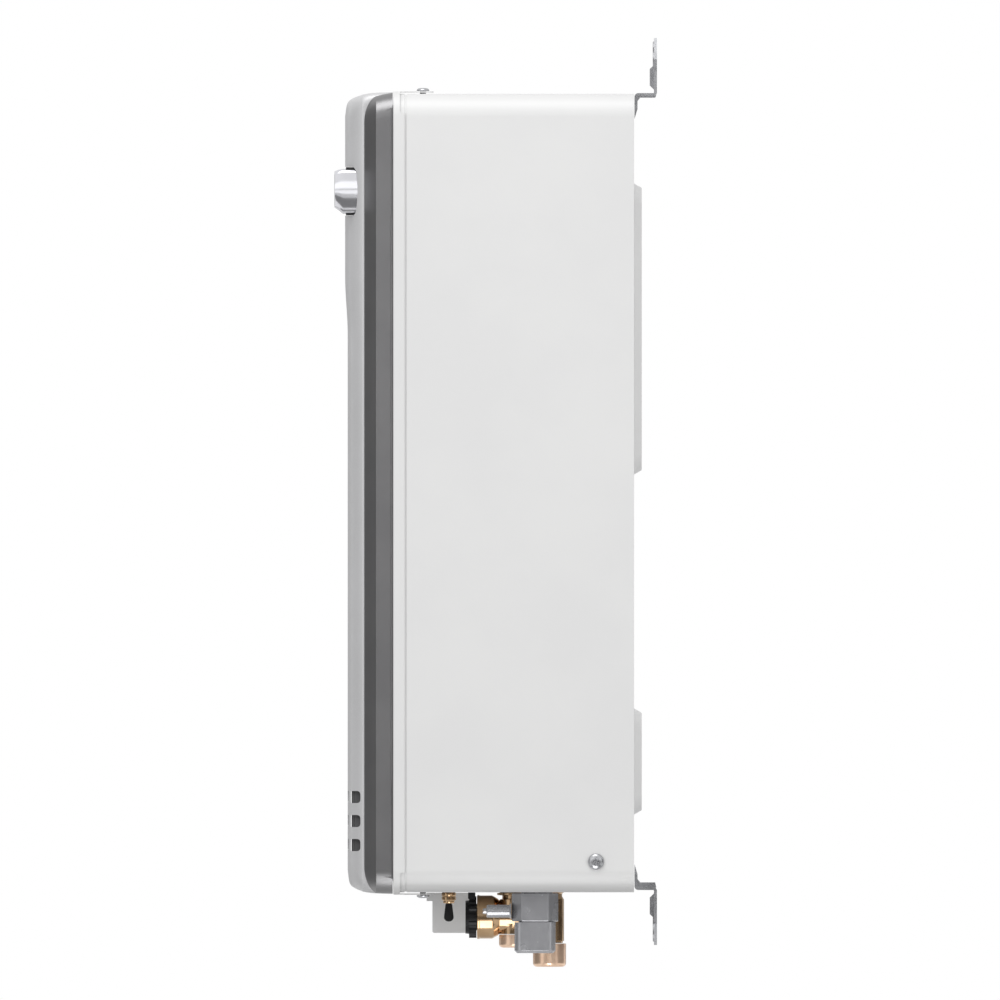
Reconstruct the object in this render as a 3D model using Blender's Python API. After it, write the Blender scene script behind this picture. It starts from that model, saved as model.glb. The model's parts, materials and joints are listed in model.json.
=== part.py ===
"""Wall-hung outdoor tankless gas water heater, modelled as an assembly.

Metres, +Z up. The front faces -Y and the wall is the plane Y = 0. The origin lies on the
wall, on the upper bracket, a little above the case's top and half way across it.
"""

import math

import bmesh
import bpy
from mathutils import Vector

# General fits
FIT = 0.0003            # gap between pieces that touch
SLIP = 0.0006           # gap round a piece that slides, turns or passes through
OVERRUN = 0.003         # how far a cutter passes the wall that it cuts
MERGE = FIT / 100       # points nearer than this are one
CORNER_STEPS = 3        # facets in a rounded corner
BEND_STEPS = 3          # facets in a small corner or in a pipe's bend
TURN_STEPS = 14         # facets round a turned piece
SMALL_TURN_STEPS = 8    # facets round a screw or a nozzle
HOLE_STEPS = 10         # facets round a small hole or pin
WIDE_TURN_STEPS = 20    # facets round the fan wheel
PIPE_BEVEL_STEPS = 2    # bevel resolution of a pipe
THIN_PIPE_BEVEL_STEPS = 1 # the same on a thin pipe or a lead
SHARP_DEGREES = 32      # edges that turn further are drawn sharp
BEVEL_DEGREES = 40      # edges that turn further are bevelled

# Case: a hoop of sheet with a back plate let into it
CASE_WIDTH = 0.348
CASE_HEIGHT = 0.528
CASE_DEPTH = 0.157
CASE_SHEET = 0.001
CASE_CORNER = 0.015
CASE_FLANGE = 0.008
WALL_GAP = 0.0152
REFERENCE_RISE = 0.012
PAD_HEIGHT = 0.0046
PAD_SIDE_INSET = 0.056
PAD_CORNER = 0.012
UPPER_PAD_DROP = 0.0596
UPPER_PAD_LENGTH = 0.1934
LOWER_PAD_RISE = 0.0497
LOWER_PAD_LENGTH = 0.0709

# Wall brackets
BRACKET_WIDTH = 0.176
BRACKET_SHEET = 0.002
BRACKET_BEND = 0.003
BRACKET_CASE_LEG = 0.0172
BRACKET_WALL_LEG = 0.0364
BRACKET_CORNER_CUT = 0.014
BRACKET_LIP = 0.0042
BRACKET_LIP_LENGTH = 0.022
BRACKET_LIP_TAPER = 0.004
BRACKET_HOLE = 0.0033
BRACKET_HOLE_SPREAD = 0.06
KEYHOLE_MOUTH = 0.0055
KEYHOLE_SLOT = 0.0035
KEYHOLE_LENGTH = 0.0075
KEYHOLE_END_MARGIN = 0.0042

# Screws with pan heads
SCREW_HEAD = 0.0053
SCREW_HEAD_HEIGHT = 0.0028
SCREW_SHANK = 0.002
SCREW_LENGTH = 0.009
SMALL_SCREW_HEAD = 0.0042
SMALL_SCREW_HEAD_HEIGHT = 0.002
HEAD_SHOULDER_SHARE = 0.92
HEAD_SHOULDER_RISE_SHARE = 0.55
HEAD_CROWN_SHARE = 0.55
CROSS_ARM_SHARE = 0.55
CROSS_HALF_SHARE = 0.11
CROSS_FLOOR_SHARE = 0.45
SIDE_SCREW_DEPTH = 0.0252
SIDE_SCREW_RISE = 0.0192

# Front cover: a drawn steel pan that laps over the case's mouth
COVER_SHEET = 0.0008
COVER_LAP = 0.0052
COVER_DEPTH = 0.0169
PAN_INSET = 0.0026
PAN_END_INSET = 0.009
PAN_CORNER = 0.006
RIM_NOTCH = 0.0033
RIM_NOTCH_LENGTH = 0.0145
TAB_WIDTH = 0.022
TAB_LENGTH = 0.019
TAB_SIDE_GAP = 0.094
TAB_SLOT = 0.0024
TAB_HOLE_DEPTH = 0.012
GASKET_THICKNESS = 0.0012
GASKET_WIDTH = 0.0066

# Side trims: dark mouldings down both sides of the cover
TRIM_WALL = 0.0018
TRIM_INSET = 0.0005
TRIM_SIDE = 0.011
TRIM_SLANT_DEPTH = 0.0079
TRIM_END_INSET = 0.002
TRIM_NOTCH = 0.0012
TRIM_NOTCH_LENGTH = 0.009
TRIM_NOTCH_DROP = 0.0775
TRIM_NOTCH_RISE = 0.0735

# Front panel: the pale moulding between the trims
PANEL_SIDE_INSET = 0.013
PANEL_INSET = 0.0005
PANEL_DEPTH = 0.0298
PANEL_WALL = 0.002
PANEL_ROUND_X = 0.031
PANEL_ROUND_Z = 0.016
PANEL_CORNER = 0.016
# rear to front: how deep, how far in at the sides, at the ends, and corner rounding
PANEL_SECTION_SHARES = [
    (0.0, 0.0, 0.0, 0.3),
    (0.42, 0.0, 0.03, 0.35),
    (0.632, 0.0, 0.085, 0.45),
    (0.694, 0.026, 0.125, 0.55),
    (0.764, 0.097, 0.175, 0.65),
    (0.847, 0.226, 0.25, 0.75),
    (0.924, 0.42, 0.36, 0.85),
    (0.969, 0.68, 0.55, 0.95),
    (1.0, 1.0, 1.0, 1.0),
]
BROW_HEIGHT = 0.0013
BROW_DROP = 0.121
BROW_FADE = 0.033
BROW_STEP_SHARES = (0.0, 0.33, 0.67, 1.0)
VENT_HEIGHT = 0.008
VENT_PITCH = 0.0159
VENT_ROWS = 3
VENT_FIRST_RISE = 0.0298
VENT_WIDTH = 0.024
VENT_SPACING = 0.03
VENT_COLUMNS = 2
VENT_FIRST_INSET = 0.034
VENT_SIDE_WIDTH = 0.0165
VENT_SIDE_SETBACK = 0.0009
VENT_SIDE_DEPTH = 0.0079

# Exhaust outlet
OUTLET_DROP = 0.0651
OUTLET_SIDE_INSET = 0.0037
OUTLET_HALF_HEIGHT = 0.0149
OUTLET_CORNER = 0.003
OUTLET_WALL = 0.0022
OUTLET_PROUD = 0.0088
OUTLET_LAP = 0.004
OUTLET_LIP_DEPTH = 0.0062
OUTLET_LIP_INSET = 0.0052
OUTLET_LIP_LIFT = 0.0016
GRILLE_DEPTH = 0.005
GRILLE_RECESS = 0.006
GRILLE_BORDER = 0.002
VANE_COUNT = 17
VANE_THICKNESS = 0.0016

# Exhaust hood over the exchanger
HOOD_SHEET = 0.001
HOOD_DROP = 0.015
HOOD_SLOPE = 0.022
FLARE_LENGTH = 0.018
DUCT_GAP = 0.0009

# Heat exchanger
TUBE_RADIUS = 0.006
TUBE_GAP = 0.0004
EXCHANGER_BACK_GAP = 0.0024
EXCHANGER_SIDE_GAP = 0.056
EXCHANGER_FRONT_GAP = 0.0232
EXCHANGER_HEIGHT = 0.138
EXCHANGER_DROP = 0.1
EXCHANGER_SHEET = 0.0012
EXCHANGER_CORNER = 0.012
FIN_COUNT = 6
FIN_THICKNESS = 0.0008
FIN_END_GAP = 0.0255
FIN_HEIGHT = 0.038
FIN_DROP = 0.007
FIN_COLLAR = 0.0008
PASS_COUNT = 3
PASS_END_GAP = 0.023
COIL_PITCH = 0.022
COIL_TURNS = 2
COIL_FOOT = 0.013
COIL_TAIL = 0.06
COIL_INLET_SETBACK = 0.014

# Burner
BURNER_SHEET = 0.0012
BURNER_SIDE_INSET = 0.006
BURNER_DEPTH_INSET = 0.003
BURNER_HEIGHT = 0.092
BURNER_CORNER = 0.003
BAR_COUNT = 8
BAR_SIDE_GAP = 0.02275
BAR_WIDTH = 0.011
BAR_TOP_WIDTH = 0.006
BAR_HEIGHT = 0.05
BAR_END_GAP = 0.01
BAR_RISE = 0.018
BAR_RAIL = 0.003
MANIFOLD_SIDE_INSET = 0.014
MANIFOLD_HEIGHT = 0.024
MANIFOLD_DEPTH = 0.0142
MANIFOLD_RISE = 0.024
MANIFOLD_EAR = 0.007
MANIFOLD_EAR_DEPTH = 0.004
NOZZLE_PLATE = 0.0015
NOZZLE_RADIUS = 0.0035
NOZZLE_TIP = 0.0018
NOZZLE_REACH = 0.009
SIGHT_RADIUS = 0.009
SIGHT_ACROSS_SHARE = -0.4464286
SIGHT_DROP = 0.018
SIGHT_DEPTH = 0.004
SIGHT_BOLT_RING = 0.0022
CERAMIC_RADIUS = 0.0035
CERAMIC_OUT = 0.012
CERAMIC_IN = 0.016
ELECTRODE_RADIUS = 0.001
ELECTRODE_REACH = 0.024
IGNITER_ACROSS_SHARE = 0.625
IGNITER_SPACING = 0.012
FLAME_ROD_ACROSS_SHARE = 0.2232143
ELECTRODE_PLATE = 0.0016
ELECTRODE_PLATE_MARGIN = 0.006

# Combustion fan
FAN_SHEET = 0.0015
FAN_DEPTH = 0.046
FAN_DROP = 0.07
WHEEL_RADIUS = 0.04
WHEEL_INNER_RADIUS = 0.031
WHEEL_WIDTH = 0.038
WHEEL_DISC = 0.0015
WHEEL_HUB = 0.009
WHEEL_HUB_LENGTH = 0.014
WHEEL_BLADES = 16
BLADE_THICKNESS = 0.001
BLADE_SWEEP_DEGREES = 12
WHEEL_REAR_GAP = 0.002
SCROLL_MIN = 0.0455
SCROLL_MAX = 0.062
TONGUE_DEGREES = 55
SCROLL_STEPS = 26
SHAFT_RADIUS = 0.003
MOTOR_RADIUS = 0.03
MOTOR_BOSS = 0.012
MOTOR_BOSS_LENGTH = 0.007
SHAFT_REACH = 0.0049
MOTOR_LENGTH = 0.0475
MOTOR_EDGE = 0.003
FAN_SIDE_GAP = 0.003

# Gas path, and what its fitting shares with the cold inlet
GAS_SIDE_GAP = 0.056
GAS_DEPTH = 0.0643
HEX_SIDES = 6
GAS_HEX_HALF = 0.0138
GAS_HEX_DROP = 0.0209
GAS_COLLAR_HALF = 0.0136
GAS_COLLAR_CORNER = 0.005
GAS_SPIGOT_DROP = 0.0418
GAS_BORE = 0.009
COLUMN_RADIUS = 0.0105
FITTING_FLANGE = 0.0195
FITTING_FLANGE_THICKNESS = 0.004
SPIGOT_ROUND = 0.0018
SPIGOT_GROOVE = 0.0008
SPIGOT_GROOVE_WIDTH = 0.0012
NIPPLE_DROP = 0.014
NIPPLE_RADIUS = 0.0043
NIPPLE_LENGTH = 0.0157
NIPPLE_SCREW_RADIUS = 0.0023
NIPPLE_SCREW_OUT = 0.004
NIPPLE_SCREW_IN = 0.008
VALVE_HALF_WIDTH = 0.026
VALVE_HALF_DEPTH = 0.03
VALVE_HEIGHT = 0.088
VALVE_DROP = 0.02
VALVE_BEVEL = 0.003
VALVE_PORT = 0.0072
VALVE_SHIFT_X = 0.008
VALVE_SHIFT_Y = -0.0125
COIL_RADIUS = 0.012
COIL_LENGTH = 0.026
COIL_RISE = 0.024
BIG_COIL_RADIUS = 0.0155
BIG_COIL_LENGTH = 0.03
BIG_COIL_RISE = 0.064
PLUNGER_RADIUS = 0.004
PLUNGER_LENGTH = 0.018
PLUNGER_PROUD = 0.0045
PLUNGER_TRAVEL = 0.003
FEED_RADIUS = 0.007
FEED_BORE = 0.005
FEED_BEND = 0.012
FEED_X_SHIFT = 0.002
FEED_SETBACK = 0.01

# Water path
COLD_ACROSS_SHARE = 0.14943
COLD_DEPTH = 0.0785
COLD_SPIGOT_DROP = 0.0382
COLD_BARREL_DROP = 0.0179
COLD_BARREL_RADIUS = 0.0145
COLD_NECK_RADIUS = 0.0112
COLD_BARREL_FRONT = 0.0256
COLD_NECK_FRONT = 0.0114
COLD_BARREL_END = 0.002
COLD_BARREL_BACK = 0.013
WATER_SPIGOT_RADIUS = 0.01095
WATER_BORE = 0.0075
STRAINER_BORE = 0.0096
KNOB_RADIUS = 0.0138
KNOB_THICKNESS = 0.0073
KNOB_RIBS = 16
KNOB_RIB_DEPTH = 0.0009
KNOB_FACE_RECESS = 0.0016
KNOB_DISH = 0.0099
KNOB_GRIP_HALF = 0.0022
STRAINER_RADIUS = 0.0088
STRAINER_WALL = 0.0012
STRAINER_LENGTH = 0.03
STRAINER_RING = 0.003
STRAINER_WINDOWS = 6
STRAINER_WINDOW_HALF = 0.0024
SENSOR_RADIUS = 0.0145
SENSOR_HEIGHT = 0.038
SENSOR_NECK = 0.0105
SENSOR_NECK_LENGTH = 0.007
SENSOR_CHAMBER = 0.0112
SENSOR_COLLAR = 0.0175
SENSOR_COLLAR_THICKNESS = 0.003
TURBINE_RADIUS = 0.0102
TURBINE_HUB = 0.003
TURBINE_HEIGHT = 0.015
TURBINE_BLADES = 6
TURBINE_BLADE = 0.0009
TURBINE_TWIST_DEGREES = 35
HOT_ACROSS_SHARE = -0.1092
HOT_DEPTH = 0.056
HOT_BODY_RADIUS = 0.0096
HOT_GROOVE_DROP = 0.0351
HOT_SPIGOT_DROP = 0.0509
PIPE_BEND = 0.014
TUBE_BEND = 0.0096
TUBE_BEND_STEPS = 2
PIPE_END = 0.009
KNOB_NECK = 0.004
COLD_TURN_RISE = 0.017
HOT_INNER_GAP = 0.014
HOT_CROSS_DROP = 0.0177
HOT_LEVEL_RISE = 0.0565
HOT_STUB_RISE = 0.036

# Drain cock
DRAIN_ACROSS_SHARE = -0.21552
DRAIN_FRONT_GAP = 0.0343
DRAIN_BODY_HALF = 0.0046
DRAIN_BODY_DROP = 0.0088
DRAIN_FLANGE = 0.0075
DRAIN_FLANGE_THICKNESS = 0.003
DRAIN_HANDLE_LENGTH = 0.0118
DRAIN_HANDLE_HALF = 0.0036
DRAIN_HANDLE_TOP_HALF = 0.0022
DRAIN_HANDLE_THICKNESS = 0.0032
DRAIN_PIPE_RADIUS = 0.0035
DRAIN_PIPE_RISE = 0.016
DRAIN_PIPE_BEND = 0.006

# Electrical pieces
JUNCTION_SIDE_GAP = 0.045
JUNCTION_HALF_WIDTH = 0.029
JUNCTION_FRONT_GAP = 0.0234
JUNCTION_LENGTH = 0.0276
JUNCTION_DROP = 0.0276
JUNCTION_SHEET = 0.001
JUNCTION_LIP = 0.0038
JUNCTION_LIP_HEIGHT = 0.0055
CONDUIT_HOLE = 0.0095
BOX_WIDTH = 0.072
BOX_TOP_GAP = 0.0147
BOX_DEPTH = 0.022
BOX_WALL = 0.0018
BOX_RISE = 0.028
BOX_FRONT_GAP = 0.0055
BOARD_THICKNESS = 0.0016
BOARD_MARGIN = 0.0022
BOARD_STAND = 0.003
BOARD_STAND_HALF = 0.0018
BUTTON_RADIUS = 0.0022
BUTTON_HEIGHT = 0.003
BUTTON_BODY = 0.0035
BUTTON_BODY_HEIGHT = 0.0036
BUTTON_TRAVEL = 0.0005
BUTTON_SPREAD = 0.009
# board parts: across, up, half width, half height and how tall, as shares of the board
BOARD_PART_SHARES = [
    (0.24, 0.9, 0.17, 0.055, 0.62),
    (0.7, 0.9, 0.17, 0.055, 0.62),
    (0.3, 0.7, 0.22, 0.07, 0.78),
    (0.76, 0.72, 0.13, 0.09, 0.4),
    (0.28, 0.5, 0.18, 0.06, 0.3),
    (0.72, 0.53, 0.18, 0.045, 0.55),
    (0.3, 0.33, 0.2, 0.04, 0.45),
    (0.74, 0.38, 0.16, 0.05, 0.3),
    (0.2, 0.05, 0.12, 0.025, 0.6),
    (0.52, 0.05, 0.12, 0.025, 0.6),
    (0.83, 0.05, 0.1, 0.025, 0.6),
]
BUTTON_RISE_SHARE = 0.17
SPARK_WIDTH = 0.033
SPARK_DEPTH = 0.045
SPARK_HEIGHT = 0.058
SPARK_BACK = 0.064
SPARK_BEVEL = 0.002
LEAD_RADIUS = 0.002
LEAD_BEND = 0.0055
LEAD_OUT = 0.0066
LEAD_SETBACK = 0.012
SPARK_TOP_DROP = 0.004

# Sizes and places worked out from the sizes above
PAD_HALF_WIDTH = CASE_WIDTH / 2 - PAD_SIDE_INSET
TAB_SPREAD = CASE_WIDTH / 2 - TAB_SIDE_GAP
PANEL_HALF_WIDTH = CASE_WIDTH / 2 - PANEL_SIDE_INSET
OUTLET_HALF_WIDTH = PANEL_HALF_WIDTH - OUTLET_SIDE_INSET
EXCHANGER_HALF_WIDTH = CASE_WIDTH / 2 - EXCHANGER_SIDE_GAP
BURNER_HALF_WIDTH = EXCHANGER_HALF_WIDTH - BURNER_SIDE_INSET
MANIFOLD_HALF_WIDTH = BURNER_HALF_WIDTH - MANIFOLD_SIDE_INSET
FIN_PITCH = 2 * (EXCHANGER_HALF_WIDTH - FIN_END_GAP) / (FIN_COUNT - 1)
BAR_PITCH = 2 * (BURNER_HALF_WIDTH - BAR_SIDE_GAP) / (BAR_COUNT - 1)
GAS_X = CASE_WIDTH / 2 - GAS_SIDE_GAP
COLD_X = CASE_WIDTH * COLD_ACROSS_SHARE
HOT_X = CASE_WIDTH * HOT_ACROSS_SHARE
DRAIN_X = CASE_WIDTH * DRAIN_ACROSS_SHARE
JUNCTION_CENTRE_X = JUNCTION_SIDE_GAP - CASE_WIDTH / 2
IGNITER_X = BURNER_HALF_WIDTH * IGNITER_ACROSS_SHARE
FLAME_ROD_X = BURNER_HALF_WIDTH * FLAME_ROD_ACROSS_SHARE
SIGHT_X = BURNER_HALF_WIDTH * SIGHT_ACROSS_SHARE
CASE_TOP = -REFERENCE_RISE
CASE_BOTTOM = CASE_TOP - CASE_HEIGHT
CASE_MIDDLE = (CASE_TOP + CASE_BOTTOM) / 2
CASE_BACK = -WALL_GAP
CASE_FRONT = CASE_BACK - CASE_DEPTH
INNER_BACK = CASE_BACK - CASE_SHEET
INNER_SIDE = CASE_WIDTH / 2 - CASE_SHEET
INNER_FLOOR = CASE_BOTTOM + CASE_SHEET
COVER_HALF_WIDTH = CASE_WIDTH / 2 + FIT + COVER_SHEET
COVER_HALF_HEIGHT = CASE_HEIGHT / 2 + FIT + COVER_SHEET
COVER_CORNER = CASE_CORNER + FIT + COVER_SHEET
RIM_REAR = CASE_FRONT + COVER_LAP
RIM_FRONT = CASE_FRONT - GASKET_THICKNESS - 2 * FIT - COVER_SHEET
PAN_FRONT = RIM_REAR - COVER_DEPTH
TRIM_REAR = RIM_FRONT - FIT
TRIM_BEND = TRIM_REAR - TRIM_SIDE
TRIM_FRONT = TRIM_BEND - TRIM_SLANT_DEPTH
PANEL_REAR = RIM_FRONT - FIT
PANEL_FRONT = PANEL_REAR - PANEL_DEPTH
OUTLET_Z = CASE_TOP - OUTLET_DROP
OUTLET_FRONT = PANEL_FRONT - OUTLET_PROUD
PANEL_FRONT_DUCT = PAN_FRONT - OUTLET_LAP
HOOD_TOP = CASE_TOP - HOOD_DROP
EXCHANGER_TOP = CASE_TOP - EXCHANGER_DROP
EXCHANGER_BOTTOM = EXCHANGER_TOP - EXCHANGER_HEIGHT
EXCHANGER_REAR = INNER_BACK - EXCHANGER_BACK_GAP - 2 * TUBE_RADIUS - TUBE_GAP
EXCHANGER_HALF_DEPTH = (EXCHANGER_REAR - CASE_FRONT - EXCHANGER_FRONT_GAP) / 2
EXCHANGER_Y = EXCHANGER_REAR - EXCHANGER_HALF_DEPTH
PASS_PITCH = 2 * (EXCHANGER_HALF_DEPTH - PASS_END_GAP) / (PASS_COUNT - 1)
BURNER_HALF_DEPTH = EXCHANGER_HALF_DEPTH - BURNER_DEPTH_INSET
FIN_Z = EXCHANGER_TOP - FIN_DROP - FIN_HEIGHT / 2
COIL_HALF_WIDTH = EXCHANGER_HALF_WIDTH + TUBE_GAP + TUBE_RADIUS
COIL_HALF_DEPTH = EXCHANGER_HALF_DEPTH + TUBE_GAP + TUBE_RADIUS
COIL_LOW = EXCHANGER_BOTTOM + COIL_FOOT
TUBE_TURN_X = COIL_HALF_WIDTH + 2 * TUBE_RADIUS + 2 * SLIP
COIL_INLET_Y = EXCHANGER_Y + EXCHANGER_HALF_DEPTH - COIL_INLET_SETBACK
BURNER_TOP = EXCHANGER_BOTTOM - FIT
BURNER_BOTTOM = BURNER_TOP - BURNER_HEIGHT
BURNER_FACE = EXCHANGER_Y - BURNER_HALF_DEPTH
MANIFOLD_Z = BURNER_BOTTOM + MANIFOLD_RISE + MANIFOLD_HEIGHT / 2
MANIFOLD_REAR = BURNER_FACE - FIT - NOZZLE_PLATE - FIT
MANIFOLD_FRONT = MANIFOLD_REAR - MANIFOLD_DEPTH
ELECTRODE_Z = BURNER_TOP - SIGHT_DROP
SCROLL_OUTER = SCROLL_MAX + FAN_SHEET
FAN_X = COLD_X - TUBE_RADIUS - FAN_SIDE_GAP - SCROLL_OUTER
HOT_INNER_X = FAN_X - SCROLL_OUTER - HOT_INNER_GAP
FAN_Z = BURNER_BOTTOM - FAN_DROP
MOTOR_REAR = INNER_BACK - FIT
MOTOR_FRONT = MOTOR_REAR - MOTOR_LENGTH
FAN_REAR = MOTOR_FRONT - FIT
FAN_FRONT = FAN_REAR - FAN_DEPTH
FLANGE_LOW = INNER_FLOOR + FIT
FLANGE_TOP = FLANGE_LOW + FITTING_FLANGE_THICKNESS
GAS_Y = CASE_BACK - GAS_DEPTH
GAS_HEX_FRONT = GAS_Y - GAS_HEX_HALF / math.cos(math.pi / HEX_SIDES)
NIPPLE_FRONT = GAS_HEX_FRONT - NIPPLE_LENGTH
NIPPLE_PLACE = (GAS_X, CASE_BOTTOM - NIPPLE_DROP)
VALVE_TOP = BURNER_BOTTOM - VALVE_DROP
VALVE_BOTTOM = VALVE_TOP - VALVE_HEIGHT
VALVE_X = GAS_X + VALVE_SHIFT_X
VALVE_Y = GAS_Y + VALVE_SHIFT_Y
VALVE_FACE = VALVE_Y - VALVE_HALF_DEPTH
FEED_START = (VALVE_X + FEED_X_SHIFT, VALVE_FACE + FEED_SETBACK)
COLD_Y = CASE_BACK - COLD_DEPTH
BARREL_Z = CASE_BOTTOM - COLD_BARREL_DROP
BARREL_FRONT = COLD_Y - COLD_BARREL_FRONT
SENSOR_LOW = FLANGE_TOP + FIT
SENSOR_TOP = SENSOR_LOW + SENSOR_HEIGHT
HOT_Y = CASE_BACK - HOT_DEPTH
DRAIN_Y = CASE_FRONT + DRAIN_FRONT_GAP
DRAIN_HANDLE_TOP = CASE_BOTTOM - DRAIN_BODY_DROP - FIT
BOX_LEFT = -INNER_SIDE + FIT
BOX_RIGHT = BOX_LEFT + BOX_WIDTH
BOX_LOW = CASE_BOTTOM + BOX_RISE
BOX_TOP = BURNER_BOTTOM - BOX_TOP_GAP
BOX_FRONT = CASE_FRONT + BOX_FRONT_GAP
BOX_BACK = BOX_FRONT + BOX_DEPTH
BOARD_FACE = BOX_BACK - BOX_WALL - BOARD_STAND - BOARD_THICKNESS
BUTTON_Z = BOX_LOW + (BOX_TOP - BOX_LOW) * BUTTON_RISE_SHARE
BUTTON_MIDDLE = (BOX_LEFT + BOX_RIGHT) / 2
JUNCTION_FRONT = CASE_FRONT + JUNCTION_FRONT_GAP
JUNCTION_REAR = JUNCTION_FRONT + JUNCTION_LENGTH
JUNCTION_MIDDLE = (JUNCTION_FRONT + JUNCTION_REAR) / 2
SPARK_RIGHT = INNER_SIDE - FIT
SPARK_LEFT = SPARK_RIGHT - SPARK_WIDTH
SPARK_REAR = CASE_BACK - SPARK_BACK
SPARK_FACE = SPARK_REAR - SPARK_DEPTH
SPARK_TOP = BURNER_TOP - SPARK_TOP_DROP

COIL_KINDS = ["shutoff", "modulating"]
BUTTON_NAMES = ["board_button_down", "board_button_up"]
SIDE_SCREW_NAMES = ["side_screw_left", "side_screw_right"]
COVER_SCREW_NAMES = [
    "cover_screw_bottom_left", "cover_screw_bottom_right", "cover_screw_top_left", "cover_screw_top_right",
]

PLACE = {
    "X": lambda u, v, w: (w, u, v),
    "Y": lambda u, v, w: (u, w, v),
    "Z": lambda u, v, w: (u, v, w),
}


def clear_scene():
    for old in list(bpy.data.objects):
        bpy.data.objects.remove(old)


def make_materials():
    """The finishes, as colour, roughness and metallic value."""
    finishes = {
        "case_paint": ((0.74, 0.74, 0.74), 0.45, 0.0),
        "panel_silver": ((0.5, 0.5, 0.505), 0.38, 0.3),
        "trim_grey": ((0.1, 0.105, 0.115), 0.4, 0.0),
        "satin_chrome": ((0.62, 0.62, 0.65), 0.22, 0.9),
        "black_plastic": ((0.012, 0.012, 0.013), 0.45, 0.0),
        "zinc_steel": ((0.45, 0.46, 0.48), 0.35, 0.9),
        "brass": ((0.62, 0.42, 0.2), 0.28, 1.0),
        "bronze_end": ((0.7, 0.42, 0.24), 0.36, 1.0),
        "cast_grey": ((0.26, 0.28, 0.3), 0.42, 0.5),
        "copper": ((0.72, 0.36, 0.22), 0.3, 1.0),
        "bright_steel": ((0.6, 0.6, 0.6), 0.3, 1.0),
        "cast_aluminium": ((0.52, 0.53, 0.54), 0.5, 0.9),
        "ceramic": ((0.8, 0.79, 0.75), 0.35, 0.0),
        "glass": ((0.55, 0.62, 0.62), 0.08, 0.0),
        "board_green": ((0.03, 0.16, 0.07), 0.5, 0.0),
        "box_plastic": ((0.55, 0.55, 0.53), 0.5, 0.0),
        "red_plastic": ((0.45, 0.03, 0.02), 0.4, 0.0),
        "foam": ((0.03, 0.03, 0.03), 0.9, 0.0),
        "white_plastic": ((0.72, 0.72, 0.7), 0.45, 0.0),
    }
    made = {}
    for name, (colour, roughness, metallic) in finishes.items():
        material = bpy.data.materials.new(name)
        material.use_nodes = True
        shader = material.node_tree.nodes["Principled BSDF"]
        shader.inputs["Base Color"].default_value = (*colour, 1.0)
        shader.inputs["Roughness"].default_value = roughness
        shader.inputs["Metallic"].default_value = metallic
        made[name] = material
    return made


# Outlines in a plane, as lists of (u, v)


def shifted(outline, du=0.0, dv=0.0):
    return [(u + du, v + dv) for u, v in outline]


def rounded_box(half_u, half_v, radius, steps=CORNER_STEPS):
    """A rectangle about the origin with round corners, anticlockwise."""
    points = []
    for turn, (side_u, side_v) in enumerate([(1, 1), (-1, 1), (-1, -1), (1, -1)]):
        centre = (side_u * (half_u - radius), side_v * (half_v - radius))
        for step in range(steps + 1):
            angle = math.pi / 2 * (turn + step / steps)
            points.append((centre[0] + radius * math.cos(angle), centre[1] + radius * math.sin(angle)))
    return points


def circle(radius, steps=TURN_STEPS, centre=(0.0, 0.0)):
    turns = [2 * math.pi * (step + 0.5) / steps for step in range(steps)]
    return [(centre[0] + radius * math.cos(a), centre[1] + radius * math.sin(a)) for a in turns]


def polygon(half_flat, sides, centre=(0.0, 0.0)):
    """A regular polygon by its half width across flats, with a flat facing +v."""
    return circle(half_flat / math.cos(math.pi / sides), sides, centre)


def box_outline(low_u, low_v, high_u, high_v):
    return [(low_u, low_v), (high_u, low_v), (high_u, high_v), (low_u, high_v)]


def filleted(points, radius, steps=BEND_STEPS, closed=True):
    """The route or outline with each corner replaced by an arc of that radius."""
    route = [Vector(p) for p in points]
    count = len(route)
    made = []
    for index, corner in enumerate(route):
        if not closed and index in (0, count - 1):
            made.append(tuple(corner))
            continue
        before = (route[index - 1] - corner).normalized()
        after = (route[(index + 1) % count] - corner).normalized()
        half = before.angle(after) / 2
        reach = radius / math.tan(half)
        axis = (before + after).normalized()
        centre = corner + axis * (radius / math.sin(half))
        start = corner + before * reach - centre
        end = corner + after * reach - centre
        sweep = math.pi - 2 * half
        for step in range(steps + 1):
            share = step / steps
            arm = (start * math.sin((1 - share) * sweep) + end * math.sin(share * sweep)) / math.sin(sweep)
            made.append(tuple(centre + arm))
    return made


# Solids, each a bmesh


def closed_up(shape):
    bmesh.ops.recalc_face_normals(shape, faces=shape.faces)
    return shape


def prism(outline, axis, start, end):
    """The outline drawn at start and pulled to end along an axis."""
    shape = bmesh.new()
    face = shape.faces.new([shape.verts.new(PLACE[axis](u, v, start)) for u, v in outline])
    pulled = bmesh.ops.extrude_face_region(shape, geom=[face])
    moved = [part for part in pulled["geom"] if isinstance(part, bmesh.types.BMVert)]
    bmesh.ops.translate(shape, verts=moved, vec=PLACE[axis](0.0, 0.0, end - start))
    return closed_up(shape)


def block(low, high):
    return prism(box_outline(low[0], low[1], high[0], high[1]), "Z", low[2], high[2])


def rod(radius, axis, centre, start, end, steps=TURN_STEPS):
    return prism(circle(radius, steps, centre), axis, start, end)


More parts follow.
